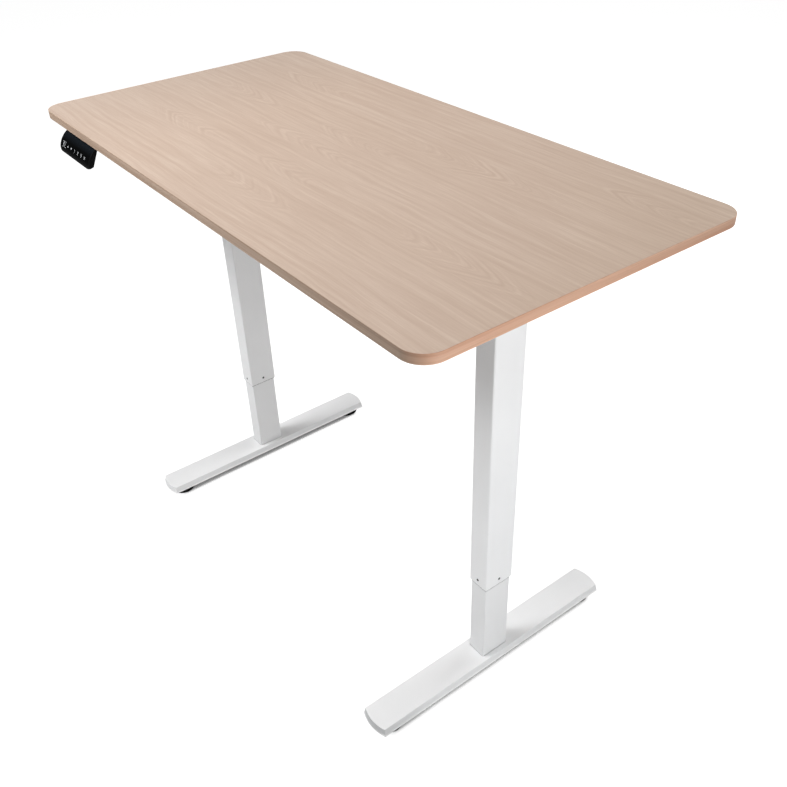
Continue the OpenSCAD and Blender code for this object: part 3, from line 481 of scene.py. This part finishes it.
whiteCoat = (srgb(240, 241, 242), srgb(236, 237, 238))  # light and dark tone of the powder coat
finishes = {
    "laminate": makeLaminate(),
    "edge_laminate": makeEdgeLaminate(),
    "white_steel": makePaint("whitePowderCoat", *whiteCoat),
    "zinc_steel": makeMetal("zincPlate", srgb(196, 198, 202), srgb(158, 160, 166), 0.34),
    "bright_steel": makeMetal("groundSteel", srgb(205, 206, 208), srgb(168, 169, 172), 0.24,
                              (30.0, 900.0, 30.0)),
    "bronze": makeMetal("cutBronze", srgb(214, 184, 128), srgb(176, 142, 88), 0.32,
                        (500.0, 60.0, 60.0)),
    "glide_plastic": makePlastic("glideBlack", srgb(46, 46, 48), srgb(38, 38, 40), 0.5, 900.0),
    "nut_plastic": makePlastic("nutIvory", srgb(232, 227, 208), srgb(222, 215, 192), 0.46, 700.0),
    "black_plastic": makePlastic("mouldedBlack", srgb(11, 11, 12), srgb(8, 8, 9), 0.52, 1300.0,
                                 **{"Specular IOR Level": 0.08}),
    "motor_paint": makePaint("motorGrey", srgb(74, 75, 79), srgb(62, 63, 67), 0.38, 700.0),
    "socket_plastic": makePlastic("socketIvory", srgb(226, 224, 214), srgb(214, 211, 198), 0.48, 800.0),
    "circuit": makeCircuit(),
    "gloss_black": makeFrontGloss(),
    "pad_rubber": makePlastic("padRubber", srgb(15, 15, 16), srgb(9, 9, 10), 0.72, 1100.0, 0.00006,
                              **{"Specular IOR Level": 0.15}),
    # two finishes for pieces that only this script has
    # painted highlight: the foot's rim gets a brighter white than the coat
    "hem_white": makePaint("whiteHem", srgb(252, 252, 252), srgb(249, 249, 250), 0.3,
                           seam=(0.0004, 0.35, 0.85, 0.42)),
    "mark_white": makePlastic("printWhite", srgb(214, 216, 218), srgb(200, 202, 205), 0.5, 900.0, 0.000004),
    # four for single solids, by the solid's name, that go before the finish of its slot
    # painted light and shade on the columns: the right column's coat is painted lighter than the left's, both
    # are painted darker towards the top under the board, and the sleeves carry a painted shadow line below
    # the upper tube
    "left_upper_tube": makePaint("whiteColumnLeft", srgb(241, 242, 243), srgb(237, 238, 239),
                                 duskUp=(0.40, 0.52, 0.93)),
    "right_upper_tube": makePaint("whiteColumnRight", srgb(246, 247, 248), srgb(243, 244, 245),
                                  duskUp=(0.58, 0.76, 0.94)),
    "left_lower_tube": makePaint("whiteSleeveLeft", *whiteCoat, seam=(0.005, 0.70, 0.985, 0.85),
                                 seamFrom=0.12),
    "right_lower_tube": makePaint("whiteSleeveRight", *whiteCoat, seam=(0.007, 0.76, 0.985, 0.08),
                                  seamFrom=0.12),
}
slotOf = {row["node"]: row["material_slot"] for row in frame["record"]["subparts"]}


def finishOf(name):
    return finishes[name if name in finishes else slotOf[name]]


for name, solid in nodes.items():
    solid.data.materials.clear()
    solid.data.materials.append(finishOf(name))
print("finishes on", len(nodes), "solids")


# building helpers

def mergedMesh(name):
    # the solid's mesh with its triangles joined into whole faces
    grid = bmesh.new()
    grid.from_mesh(nodes[name].data)
    bmesh.ops.remove_doubles(grid, verts=grid.verts, dist=2e-6)
    bmesh.ops.dissolve_limit(grid, angle_limit=math.radians(0.4), verts=grid.verts, edges=grid.edges)
    return grid


def looseParts(name):
    # lowest and highest corner of each separate part of a solid
    grid = mergedMesh(name)
    waiting, found = set(grid.verts), []
    while waiting:
        front = [waiting.pop()]
        group = list(front)
        while front:
            for edge in front.pop().link_edges:
                for vert in edge.verts:
                    if vert in waiting:
                        waiting.remove(vert)
                        front.append(vert)
                        group.append(vert)
        lines = [[vert.co[k] for vert in group] for k in range(3)]
        found.append(([min(line) for line in lines], [max(line) for line in lines]))
    grid.free()
    return sorted(found)


def bodyOf(name):
    return nodes[name]["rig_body"]


def camelName(name):
    words = name.split("_")
    return words[0] + "".join(w.capitalize() for w in words[1:])


def toMesh(name, grid, smooth=35.0):
    # bmesh to mesh, shaded smooth between its sharp edges
    mesh = bpy.data.meshes.new(name)
    grid.to_mesh(mesh)
    grid.free()
    mesh.shade_smooth()
    mesh.set_sharp_from_angle(angle=math.radians(smooth))
    return mesh


def linked(name, mesh):
    piece = bpy.data.objects.new(name, mesh)
    scene.collection.objects.link(piece)
    return piece


def bake(piece):
    # applies the modifiers, so that the piece is a plain mesh
    plain = bpy.data.meshes.new_from_object(piece.evaluated_get(bpy.context.evaluated_depsgraph_get()))
    piece.modifiers.clear()
    piece.data = plain
    return piece


def settle(piece, slot, body, replaced=()):
    # gives a finished piece its finish, its body and the solids that it stands for
    if not piece.data.materials:
        piece.data.materials.append(finishes[slot])
    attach(piece, body)
    if replaced:
        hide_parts(*replaced)
    return piece


def roundEdges(piece, width, segments=2, angle=32.0):
    bevel = piece.modifiers.new("edges", "BEVEL")
    bevel.width, bevel.segments, bevel.limit_method = width, segments, "ANGLE"
    bevel.angle_limit = math.radians(angle)
    weighted = piece.modifiers.new("flats", "WEIGHTED_NORMAL")
    weighted.keep_sharp = True
    return bake(piece)


def soften(name, width, segments=2):
    # stands for a solid whose real edges are rounded over
    piece = linked(camelName(name), toMesh(name, mergedMesh(name), 180.0))
    piece.data.materials.append(finishOf(name))
    roundEdges(piece, width, segments)
    return settle(piece, slotOf[name], bodyOf(name), [name])


def lathe(profile, steps=48, middle=(0.0, 0.0, 0.0)):
    # turns (radius, height) points round Z; a radius of 0 closes the end in a pole
    grid = bmesh.new()
    rows = []
    for radius, height in profile:
        angles = [math.tau * k / steps for k in range(steps if radius > 0 else 1)]
        rows.append([grid.verts.new((radius * math.cos(a), radius * math.sin(a), height)) for a in angles])
    for lower, upper in zip(rows, rows[1:]):
        for k in range(steps):
            corners = [lower[k % len(lower)], lower[(k + 1) % len(lower)],
                       upper[(k + 1) % len(upper)], upper[k % len(upper)]]
            corners = [v for i, v in enumerate(corners) if v not in corners[:i]]
            if len(corners) > 2:
                grid.faces.new(corners)
    bmesh.ops.translate(grid, verts=grid.verts, vec=middle)
    bmesh.ops.recalc_face_normals(grid, faces=grid.faces)
    return grid


def pathMesh(name, points, closed=True):
    mesh = bpy.data.meshes.new(name)
    count = len(points)
    mesh.from_pydata(points, [(k, (k + 1) % count) for k in range(count if closed else count - 1)], [])
    return mesh


def roundedLoop(x, y, sizeX, sizeY, radius, z, steps=8):
    # points of a rounded rectangle in plan
    points = []
    for quarter, (i, j) in enumerate(((1, 1), (-1, 1), (-1, -1), (1, -1))):
        for k in range(steps + 1):
            a = (quarter + k / steps) * math.pi / 2
            points.append((x + i * (sizeX / 2 - radius) + radius * math.cos(a),
                           y + j * (sizeY / 2 - radius) + radius * math.sin(a), z))
    return points


# geometry node trees for what repeats or follows a path

def newTree(name, inputs):
    tree = bpy.data.node_groups.new(name, "GeometryNodeTree")
    tree.interface.new_socket("Geometry", in_out="INPUT", socket_type="NodeSocketGeometry")
    for label, kind, value in inputs:
        socket = tree.interface.new_socket(label, in_out="INPUT", socket_type="NodeSocket" + kind)
        if value is not None:
            socket.default_value = value
    tree.interface.new_socket("Geometry", in_out="OUTPUT", socket_type="NodeSocketGeometry")
    return tree, place(tree, "NodeGroupInput").outputs


def closeTree(tree, given, shape):
    # every tree ends in Realize Instances, Set Material and smooth shading
    whole = place(tree, "GeometryNodeRealizeInstances", {0: shape}).outputs[0]
    painted = place(tree, "GeometryNodeSetMaterial", {"Geometry": whole,
                    "Material": given["Finish"]}).outputs[0]
    smooth = place(tree, "GeometryNodeSetShadeSmooth", {0: painted}).outputs[0]
    place(tree, "NodeGroupOutput", {0: smooth})
    return tree


def scatterTree():
    # puts a part on each point, its Z along the point's axis, turned by chance up to Spin
    tree, given = newTree("scatterParts", [("Part", "Object", None), ("Spin", "Float", 0.0),
                                           ("Seed", "Int", 3), ("Finish", "Material", None)])
    part = place(tree, "GeometryNodeObjectInfo", {"Object": given["Part"]}).outputs["Geometry"]
    axis = place(tree, "GeometryNodeInputNamedAttribute", {"Name": "axis"},
                 data_type="FLOAT_VECTOR").outputs[0]
    aligned = place(tree, "FunctionNodeAlignRotationToVector", {"Vector": axis}, axis="Z").outputs[0]
    chance = place(tree, "FunctionNodeRandomValue", {2: 0.0, 3: given["Spin"], "Seed": given["Seed"]},
                   data_type="FLOAT").outputs[1]
    spin = place(tree, "FunctionNodeAxisAngleToRotation", {"Axis": (0, 0, 1), "Angle": chance}).outputs[0]
    turned = place(tree, "FunctionNodeRotateRotation", {0: aligned, 1: spin},
                   rotation_space="LOCAL").outputs[0]
    copies = place(tree, "GeometryNodeInstanceOnPoints", {"Points": given["Geometry"], "Instance": part,
                   "Rotation": turned}).outputs[0]
    return closeTree(tree, given, copies)


def sweepTree():
    # runs a round section along the edges of the input
    tree, given = newTree("sweepSection", [("Radius", "Float", 0.001), ("Sides", "Int", 10),
                                           ("Finish", "Material", None)])
    path = place(tree, "GeometryNodeMeshToCurve", {0: given["Geometry"]}).outputs[0]
    section = place(tree, "GeometryNodeCurvePrimitiveCircle", {"Resolution": given["Sides"],
                    "Radius": given["Radius"]}).outputs[0]
    swept = place(tree, "GeometryNodeCurveToMesh", {"Curve": path, "Profile Curve": section,
                  "Fill Caps": True}).outputs[0]
    return closeTree(tree, given, swept)


def weldTree():
    # overlapping drops along the edges of the input, each a little different in size
    tree, given = newTree("weldDrops", [("Spacing", "Float", 0.0022), ("Radius", "Float", 0.0018),
                                        ("Seed", "Int", 5), ("Finish", "Material", None)])
    path = place(tree, "GeometryNodeMeshToCurve", {0: given["Geometry"]}).outputs[0]
    spots = place(tree, "GeometryNodeCurveToPoints", {"Curve": path, "Length": given["Spacing"]},
                  mode="LENGTH")
    drop = place(tree, "GeometryNodeMeshIcoSphere", {"Radius": given["Radius"], "Subdivisions": 2}).outputs[0]
    size = place(tree, "FunctionNodeRandomValue", {2: 0.86, 3: 1.08, "Seed": given["Seed"]},
                 data_type="FLOAT").outputs[1]
    copies = place(tree, "GeometryNodeInstanceOnPoints", {"Points": spots.outputs[0], "Instance": drop,
                   "Rotation": spots.outputs["Rotation"], "Scale": size}).outputs[0]
    return closeTree(tree, given, copies)


def threadTree():
    # a helix with a blunt section, wound up from the origin
    tree, given = newTree("screwThread", [("Radius", "Float", 0.0052), ("Pitch", "Float", 0.005),
                                          ("Length", "Float", 0.4), ("Depth", "Float", 0.0008),
                                          ("Finish", "Material", None)])
    turns = sums(tree, "DIVIDE", given["Length"], given["Pitch"])
    helix = place(tree, "GeometryNodeCurveSpiral", {"Resolution": 20, "Rotations": turns,
                  "Start Radius": given["Radius"], "End Radius": given["Radius"],
                  "Height": given["Length"]}).outputs[0]
    upright = place(tree, "GeometryNodeSetCurveNormal", {0: helix}, mode="Z_UP").outputs[0]
    section = place(tree, "GeometryNodeCurvePrimitiveCircle", {"Resolution": 6,
                    "Radius": given["Depth"]}).outputs[0]
    swept = place(tree, "GeometryNodeCurveToMesh", {"Curve": upright, "Profile Curve": section,
                  "Fill Caps": True}).outputs[0]
    return closeTree(tree, given, swept)


trees = {"scatter": scatterTree(), "sweep": sweepTree(), "weld": weldTree(), "thread": threadTree()}


def grow(name, base, tree, values, slot, body, replaced=(), smooth=40.0):
    # runs a tree on a base mesh and keeps the result as a plain mesh
    piece = linked(name, base)
    modifier = piece.modifiers.new("grow", "NODES")
    modifier.node_group = trees[tree]
    values = dict(values, Finish=finishes[slot])
    for item in trees[tree].interface.items_tree:
        if item.in_out == "INPUT" and item.name in values:
            modifier[item.identifier] = values[item.name]
    bake(piece)
    piece.data.set_sharp_from_angle(angle=math.radians(smooth))
    return settle(piece, slot, body, replaced)


def pointsWithAxis(name, spots):
    # loose points, each with the direction of the part that goes there
    mesh = bpy.data.meshes.new(name)
    mesh.from_pydata([spot for spot, axis in spots], [], [])
    axes = mesh.attributes.new("axis", "FLOAT_VECTOR", "POINT")
    for k, (spot, axis) in enumerate(spots):
        axes.data[k].vector = axis
    return mesh


def carve(piece, tool):
    # cuts the tool's shape out of the piece
    cutting = piece.modifiers.new("carve", "BOOLEAN")
    cutting.operation, cutting.solver, cutting.object = "DIFFERENCE", "EXACT", tool
    bake(piece)
    bpy.data.objects.remove(tool)
    return piece


def boxes(corners):
    # one mesh of plain boxes, each between two corners
    grid = bmesh.new()
    for low, high in corners:
        made = bmesh.ops.create_cube(grid, size=1.0)["verts"]
        for vert in made:
            vert.co = Vector([low[k] + (vert.co[k] + 0.5) * (high[k] - low[k]) for k in range(3)])
    return grid


# softened copies of the pressed and moulded parts

softEdges = {  # solid: width of the rounding in metres, segments
    "edge_band": (0.0007, 3),
    "left_upper_tube": (0.0004, 2), "right_upper_tube": (0.0004, 2),
    "left_foot": (0.0013, 3), "right_foot": (0.0013, 3),
    "left_side_bracket": (0.0007, 2), "right_side_bracket": (0.0007, 2),
    "front_cross_rail": (0.0007, 2), "back_cross_rail": (0.0007, 2),
    "left_head_frame": (0.0008, 2), "right_head_frame": (0.0008, 2),
    "left_gear_housing": (0.0012, 3), "right_gear_housing": (0.0012, 3),
    "motor_can": (0.0012, 3), "motor_gear_case": (0.001, 2), "motor_gear_cover": (0.001, 2),
    "control_box_cover": (0.0015, 3), "control_box_base": (0.0006, 2),
    "handset_case": (0.0006, 3), "handset_panel": (0.0003, 2),
    "frame_bolts": (0.0002, 2), "left_foot_bolts": (0.0003, 2), "right_foot_bolts": (0.0003, 2),
    "left_base_plate": (0.0006, 2), "right_base_plate": (0.0006, 2),
}
for name, (width, segments) in softEdges.items():
    soften(name, width, segments)
print("softened", len(softEdges), "parts")


# wood screws

woodScrew = {"head": 0.0045, "headHeight": 0.0022, "edge": 0.0007, "shoulder": 0.0016, "shank": 0.0022,
             "length": 0.011, "point": 0.003, "slot": 0.0009, "slotReach": 0.0026, "slotFrom": 0.0009,
             "slotTo": 0.004}


def addWoodScrews():
    # pan heads with a cross recess; the heads point down
    z = woodScrew
    profile = [(0, -z["length"]), (z["shank"] * 0.3, -z["length"]), (z["shank"], z["point"] - z["length"]),
               (z["shank"], 0), (z["head"], 0), (z["head"], z["edge"]), (z["head"] * 0.86, z["shoulder"]),
               (z["head"] * 0.55, z["headHeight"] - 0.0002), (z["head"] * 0.2, z["headHeight"]),
               (0, z["headHeight"])]
    part = linked("woodScrewPart", toMesh("woodScrewPart", lathe(profile, 24)))
    half, low, high = z["slot"] / 2, z["slotFrom"], z["slotTo"]
    recess = boxes([((-z["slotReach"], -half, low), (z["slotReach"], half, high)),
                    ((-half, -z["slotReach"], low), (half, z["slotReach"], high))])
    carve(part, linked("recess", toMesh("recess", recess)))
    spots = []
    for low, high in looseParts("desktop_screws"):
        spots.append((((low[0] + high[0]) / 2, (low[1] + high[1]) / 2, low[2] + z["headHeight"]), (0, 0, -1)))
    grow("woodScrews", pointsWithAxis("woodScrews", spots), "scatter",
         {"Part": part, "Spin": math.pi / 2, "Seed": 11}, "zinc_steel", "top", ["desktop_screws"])
    bpy.data.objects.remove(part)


addWoodScrews()


# columns: weld under each head frame, threads on the lead screws

column = {"x": 0.42, "upperX": 0.044, "upperY": 0.065, "corner": 0.003}
weld = {"out": 0.0008, "drop": 0.0006, "spacing": 0.0021, "radius": 0.0017}
leadScrew = {"radius": 0.006, "core": 0.0052, "journal": 0.005, "collar": 0.009, "collarHeight": 0.008,
             "chamfer": 0.0008, "tip": 0.0006, "pitch": 0.005, "depth": 0.0008, "plain": 0.012, "gap": 0.0003}
sides = (("left", -column["x"]), ("right", column["x"]))


def addWelds(side, x):
    low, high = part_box(side + "_head_frame")
    loop = roundedLoop(x, 0.0, column["upperX"] + 2 * weld["out"], column["upperY"] + 2 * weld["out"],
                       column["corner"], low.z - weld["drop"])
    grow(side + "ColumnWeld", pathMesh("weldPath", loop), "weld",
         {"Spacing": weld["spacing"], "Radius": weld["radius"], "Seed": 7},
         "white_steel", "top", smooth=180.0)


def addThread(name, sizes, slot, body, start, leftHanded=False, smooth=40.0):
    # a thread wound up round the axis above its start
    piece = grow(name, pathMesh("seed", [(0, 0, 0), (0, 0, 0.001)], False), "thread", sizes, slot, body,
                 smooth=smooth)
    if leftHanded:
        piece.data.transform(Matrix.Scale(-1, 4, (0, 1, 0)))
        piece.data.flip_normals()
    piece.data.transform(Matrix.Translation(start))


def addLeadScrew(side, x):
    # right-handed on the left, left-handed on the right; plain below the bearing
    z = leadScrew
    low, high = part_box(side + "_lead_screw")
    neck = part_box(side + "_thrust_bearing")[0].z - z["gap"]
    collar, collarTop, bevel = z["collar"], low.z + z["collarHeight"], z["chamfer"]
    profile = [(0, low.z), (collar - bevel, low.z), (collar, low.z + bevel), (collar, collarTop - bevel),
               (collar - bevel, collarTop), (z["core"], collarTop), (z["core"], neck - z["plain"]),
               (z["radius"], neck - z["plain"] + 0.0004), (z["radius"], neck), (z["journal"], neck),
               (z["journal"], high.z - z["tip"]), (z["journal"] - z["tip"], high.z), (0, high.z)]
    screw = linked(side + "LeadScrew", toMesh(side + "LeadScrew", lathe(profile, 32, (x, 0, 0))))
    settle(screw, "bright_steel", side + "_screw", [side + "_lead_screw"])
    start = collarTop + 0.001
    addThread(side + "ScrewThread", {"Radius": z["core"], "Pitch": z["pitch"], "Depth": z["depth"],
              "Length": neck - z["plain"] - 0.001 - start}, "bright_steel", side + "_screw", (x, 0, start),
              side == "right", 50.0)


for side, x in sides:
    addWelds(side, x)
    addLeadScrew(side, x)
print("welds and lead screws made")


# levelling feet: rubber pad with a grooved sole on a threaded stud

levelFoot = {"radius": 0.0275, "height": 0.009, "studCore": 0.0036, "socket": 0.0014, "socketDepth": 0.002,
             "pitch": 0.00125, "depth": 0.00038}


def addLevellingFoot(name):
    z = levelFoot
    low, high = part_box(name)
    x, y, top = (low.x + high.x) / 2, (low.y + high.y) / 2, high.z
    r, h, core, socket = z["radius"], z["height"], z["studCore"], z["socket"]
    sole = [(0, 0.0005), (0.006, 0.0005), (0.0065, 0), (0.0095, 0), (0.010, 0.0007), (0.0115, 0.0007),
            (0.012, 0), (0.0155, 0), (0.016, 0.0007), (0.0175, 0.0007), (0.018, 0), (r - 0.0010, 0)]
    side = [(r - 0.0003, 0.0003), (r, 0.0010), (r, 0.0024), (r - 0.0001, h - 0.0028),
            (r - 0.0006, h - 0.0014), (r - 0.0016, h - 0.0004), (r - 0.0030, h)]
    neck = [(0.0074, h), (0.0068, h - 0.0006), (0, h - 0.0006)]
    stud = [(0, h - 0.001), (core, h - 0.001), (core, top - 0.0012), (core - 0.0008, top), (socket, top),
            (socket, top - z["socketDepth"]), (0, top - z["socketDepth"])]
    body, label = bodyOf(name), camelName(name)
    pad = linked(label, toMesh(name, lathe(sole + side + neck, 64, (x, y, 0))))
    settle(pad, "pad_rubber", body, [name])
    settle(linked(label + "Stud", toMesh(name, lathe(stud, 24, (x, y, 0)))), "zinc_steel", body)
    addThread(label + "Thread", {"Radius": core, "Pitch": z["pitch"], "Depth": z["depth"],
              "Length": top - h - 0.003}, "zinc_steel", body, (x, y, h + 0.0006))


for name in sorted(n for n in nodes if n.endswith("levelling_foot")):
    addLevellingFoot(name)


# feet: flared rim along the lower edge, in a brighter coat that is a painted highlight

footShape = {"halfWidth": 0.030, "slope": 0.0025, "length": 0.550, "endRadius": 0.072, "edge": 0.0155,
             # section of the rim: outwards from the side, up from the edge
             "rim": [(-0.0012, -0.0002), (0.0008, -0.0004), (0.0011, -0.0002), (0.0011, 0.0003),
                     (-0.0002, 0.0026), (-0.0012, 0.0031)],
             "endFlare": 0.15, "steps": 24}  # share of the flare that is left in the middle of the round end


def rimRing(x, out, up):
    # one line of the rim, all the way round the foot
    z = footShape
    endRadius = z["endRadius"] + z["slope"]
    reach = z["length"] / 2 - math.sqrt(z["endRadius"] ** 2 - z["halfWidth"] ** 2)
    swing = math.asin((z["halfWidth"] + z["slope"] + out) / (endRadius + out))
    points = []
    for end in (1, -1):
        for k in range(z["steps"] + 1):
            a = swing - 2 * swing * k / z["steps"]
            share = z["endFlare"] + (1 - z["endFlare"]) * (abs(a) / swing) ** 2
            radius = endRadius + min(out, 0) + max(out, 0) * share
            y = end * (reach + radius * math.cos(a))
            points.append((x + end * radius * math.sin(a), y, z["edge"] + up))
    return points


def addFootRim(side, x):
    grid = bmesh.new()
    rings = [[grid.verts.new(point) for point in rimRing(x, out, up)] for out, up in footShape["rim"]]
    for one, two in zip(rings, rings[1:] + rings[:1]):
        for k in range(len(one)):
            n = (k + 1) % len(one)
            grid.faces.new((one[k], one[n], two[n], two[k]))
    bmesh.ops.recalc_face_normals(grid, faces=grid.faces)
    rim = linked(side + "FootRim", toMesh(side + "FootRim", grid, 40.0))
    settle(rim, "hem_white", bodyOf(side + "_foot"))


for side, x in sides:
    addFootRim(side, x)
print("feet made")


# motor and control box

motor = {"radius": 0.027, "cap": 0.004, "bands": (0.018, 0.078), "bandRadius": 0.0006, "bandSink": 0.0001,
         "screwRing": 0.017, "screwHead": 0.0028, "screwHeight": 0.0016,
         "socket": 0.0013, "socketFloor": 0.0004}
controlBox = {"ribs": 21, "ribPitch": 0.010, "ribHalfLength": 0.034, "ribWidth": 0.0016, "ribHeight": 0.0008,
              "ribSink": 0.0004, "ribRound": 0.0004}


def addMotorTrim():
    # two bands round the can, two cap screws in its end
    z = motor
    low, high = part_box("motor_can")
    x, y = (low.x + high.x) / 2, (low.y + high.y) / 2
    r = z["radius"] - z["bandSink"]
    for k, drop in enumerate(z["bands"]):
        height = high.z - z["cap"] - drop
        angles = [math.tau * i / 64 for i in range(64)]
        ring = [(x + r * math.cos(a), y + r * math.sin(a), height) for a in angles]
        grow("motorBand%d" % (k + 1), pathMesh("ring", ring), "sweep",
             {"Radius": z["bandRadius"], "Sides": 8}, "motor_paint", "top", smooth=60.0)
    head, tall, socket = z["screwHead"], z["screwHeight"], z["socket"]
    profile = [(0, -0.001), (head, -0.001), (head, tall - 0.0006), (head - 0.0004, tall), (socket, tall),
               (socket, z["socketFloor"]), (0, z["socketFloor"])]
    part = linked("capScrewPart", toMesh("capScrewPart", lathe(profile, 20)))
    spots = [((x + z["screwRing"] * math.cos(a), y + z["screwRing"] * math.sin(a), low.z), (0, 0, -1))
             for a in (math.pi / 4, math.pi * 5 / 4)]
    grow("motorCapScrews", pointsWithAxis("capScrews", spots), "scatter",
         {"Part": part, "Spin": 3.0, "Seed": 2}, "zinc_steel", "top")
    bpy.data.objects.remove(part)


def addControlBoxRibs():
    # a row of ribs under the cover
    z = controlBox
    low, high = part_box("control_box_cover")
    x, y = (low.x + high.x) / 2, (low.y + high.y) / 2
    corner = (z["ribWidth"] / 2, z["ribHalfLength"])
    rib = boxes([((-corner[0], -corner[1], -z["ribSink"]), (*corner, z["ribHeight"]))])
    part = linked("ribPart", toMesh("ribPart", rib))
    roundEdges(part, z["ribRound"], 2)
    first = x - (z["ribs"] - 1) / 2 * z["ribPitch"]
    spots = [((first + k * z["ribPitch"], y, low.z), (0, 0, -1)) for k in range(z["ribs"])]
    grow("controlBoxRibs", pointsWithAxis("ribs", spots), "scatter",
         {"Part": part, "Spin": 0.0, "Seed": 1}, "black_plastic", "top")
    bpy.data.objects.remove(part)


addMotorTrim()
addControlBoxRibs()
print("motor and control box made")


# handset: marks on the keys and the display

handset = {"x": -0.427, "axisY": -0.2695, "axisZ": 0.850, "radius": 0.045, "tilt": 25.0, "firstKey": -0.0335,
           "keyPitch": 0.0164, "keyLift": 0.00022, "markThick": 0.00008, "stroke": 0.00080,
           "markHeight": 0.0049, "displayX": -0.053, "displaySink": 0.00002,
           "digits": (("9", -0.0029), ("1", 0.0022)),
           "digitHeight": 0.0060, "digitWidth": 0.0034, "digitStroke": 0.0008,
           "frameWidth": 0.0150, "frameHeight": 0.0102, "frameStroke": 0.0005}
keyOrder = ("key_up", "key_down", "key_1", "key_2", "key_3", "key_memory")


def onFace(u, v, out):
    # a point on the curved face: u along it, v up round the curve, out away from it
    a = math.radians(handset["tilt"]) + v / handset["radius"]
    r = handset["radius"] + out
    return (handset["x"] + u, handset["axisY"] - r * math.cos(a), handset["axisZ"] + r * math.sin(a))


def addMark(name, shapes, u, lift, slot, body):
    # flat shapes laid on the face and given a little thickness
    grid = bmesh.new()
    for shape in shapes:
        rims = [[grid.verts.new(onFace(u + a, b, lift + out)) for a, b in shape]
                for out in (0.0, handset["markThick"])]
        grid.faces.new(rims[0][::-1])
        grid.faces.new(rims[1])
        for k in range(len(shape)):
            n = (k + 1) % len(shape)
            grid.faces.new((rims[0][k], rims[0][n], rims[1][n], rims[1][k]))
    bmesh.ops.recalc_face_normals(grid, faces=grid.faces)
    return settle(linked(name, toMesh(name, grid, 20.0)), slot, body)


def bar(ax, ay, bx, by, width):
    # a straight stroke from a to b with cut ends, half a width past them
    length = math.hypot(bx - ax, by - ay)
    dx, dy = (bx - ax) / length * width / 2, (by - ay) / length * width / 2
    return [(ax - dx - dy, ay - dy + dx), (ax - dx + dy, ay - dy - dx),
            (bx + dx + dy, by + dy - dx), (bx + dx - dy, by + dy + dx)]


segmentEnds = {"a": (0, 2, 1, 2), "b": (1, 1, 1, 2), "c": (1, 0, 1, 1), "d": (0, 0, 1, 0), "e": (0, 0, 0, 1),
               "f": (0, 1, 0, 2), "g": (0, 1, 1, 1)}
digitSegments = {"1": "bc", "2": "abged", "3": "abgcd", "9": "abcdfg"}


def digit(sign, x, width, height, stroke):
    # a digit of straight strokes, its middle at x
    shapes = []
    for letter in digitSegments[sign]:
        ax, ay, bx, by = segmentEnds[letter]
        shapes.append(bar(x + (ax - 0.5) * width, (ay - 1) * height / 2,
                          x + (bx - 0.5) * width, (by - 1) * height / 2, stroke))
    return shapes


def addHandsetMarks():
    z = handset
    h, s = z["markHeight"] / 2, z["stroke"]
    marks = {"key_up": [[(-h, -h * 0.7), (h, -h * 0.7), (0, h * 0.9)]],
             "key_down": [[(-h, h * 0.7), (0, -h * 0.9), (h, h * 0.7)]],
             "key_memory": [bar(-h * 0.8, -h, -h * 0.8, h, s), bar(h * 0.8, -h, h * 0.8, h, s),
                            bar(-h * 0.8, h, 0, 0, s), bar(0, 0, h * 0.8, h, s)]}
    for sign in "123":
        marks["key_" + sign] = digit(sign, -h * 0.5 if sign == "1" else 0.0, h * 1.1, h * 2, s)
    for k, name in enumerate(keyOrder):
        addMark(camelName(name) + "Mark", marks[name], z["firstKey"] + k * z["keyPitch"], z["keyLift"],
                "mark_white", name + "_body")
    a, b, line = z["frameWidth"] / 2, z["frameHeight"] / 2, z["frameStroke"]
    shapes = []
    for sign, x in z["digits"]:
        shapes += digit(sign, x, z["digitWidth"], z["digitHeight"], z["digitStroke"])
    shapes += [bar(-a, -b, a, -b, line), bar(-a, b, a, b, line),
               bar(-a, -b, -a, b, line), bar(a, -b, a, b, line)]
    addMark("displayDigits", shapes, z["displayX"], -z["displaySink"], "mark_white", "top")


addHandsetMarks()
print("handset made")
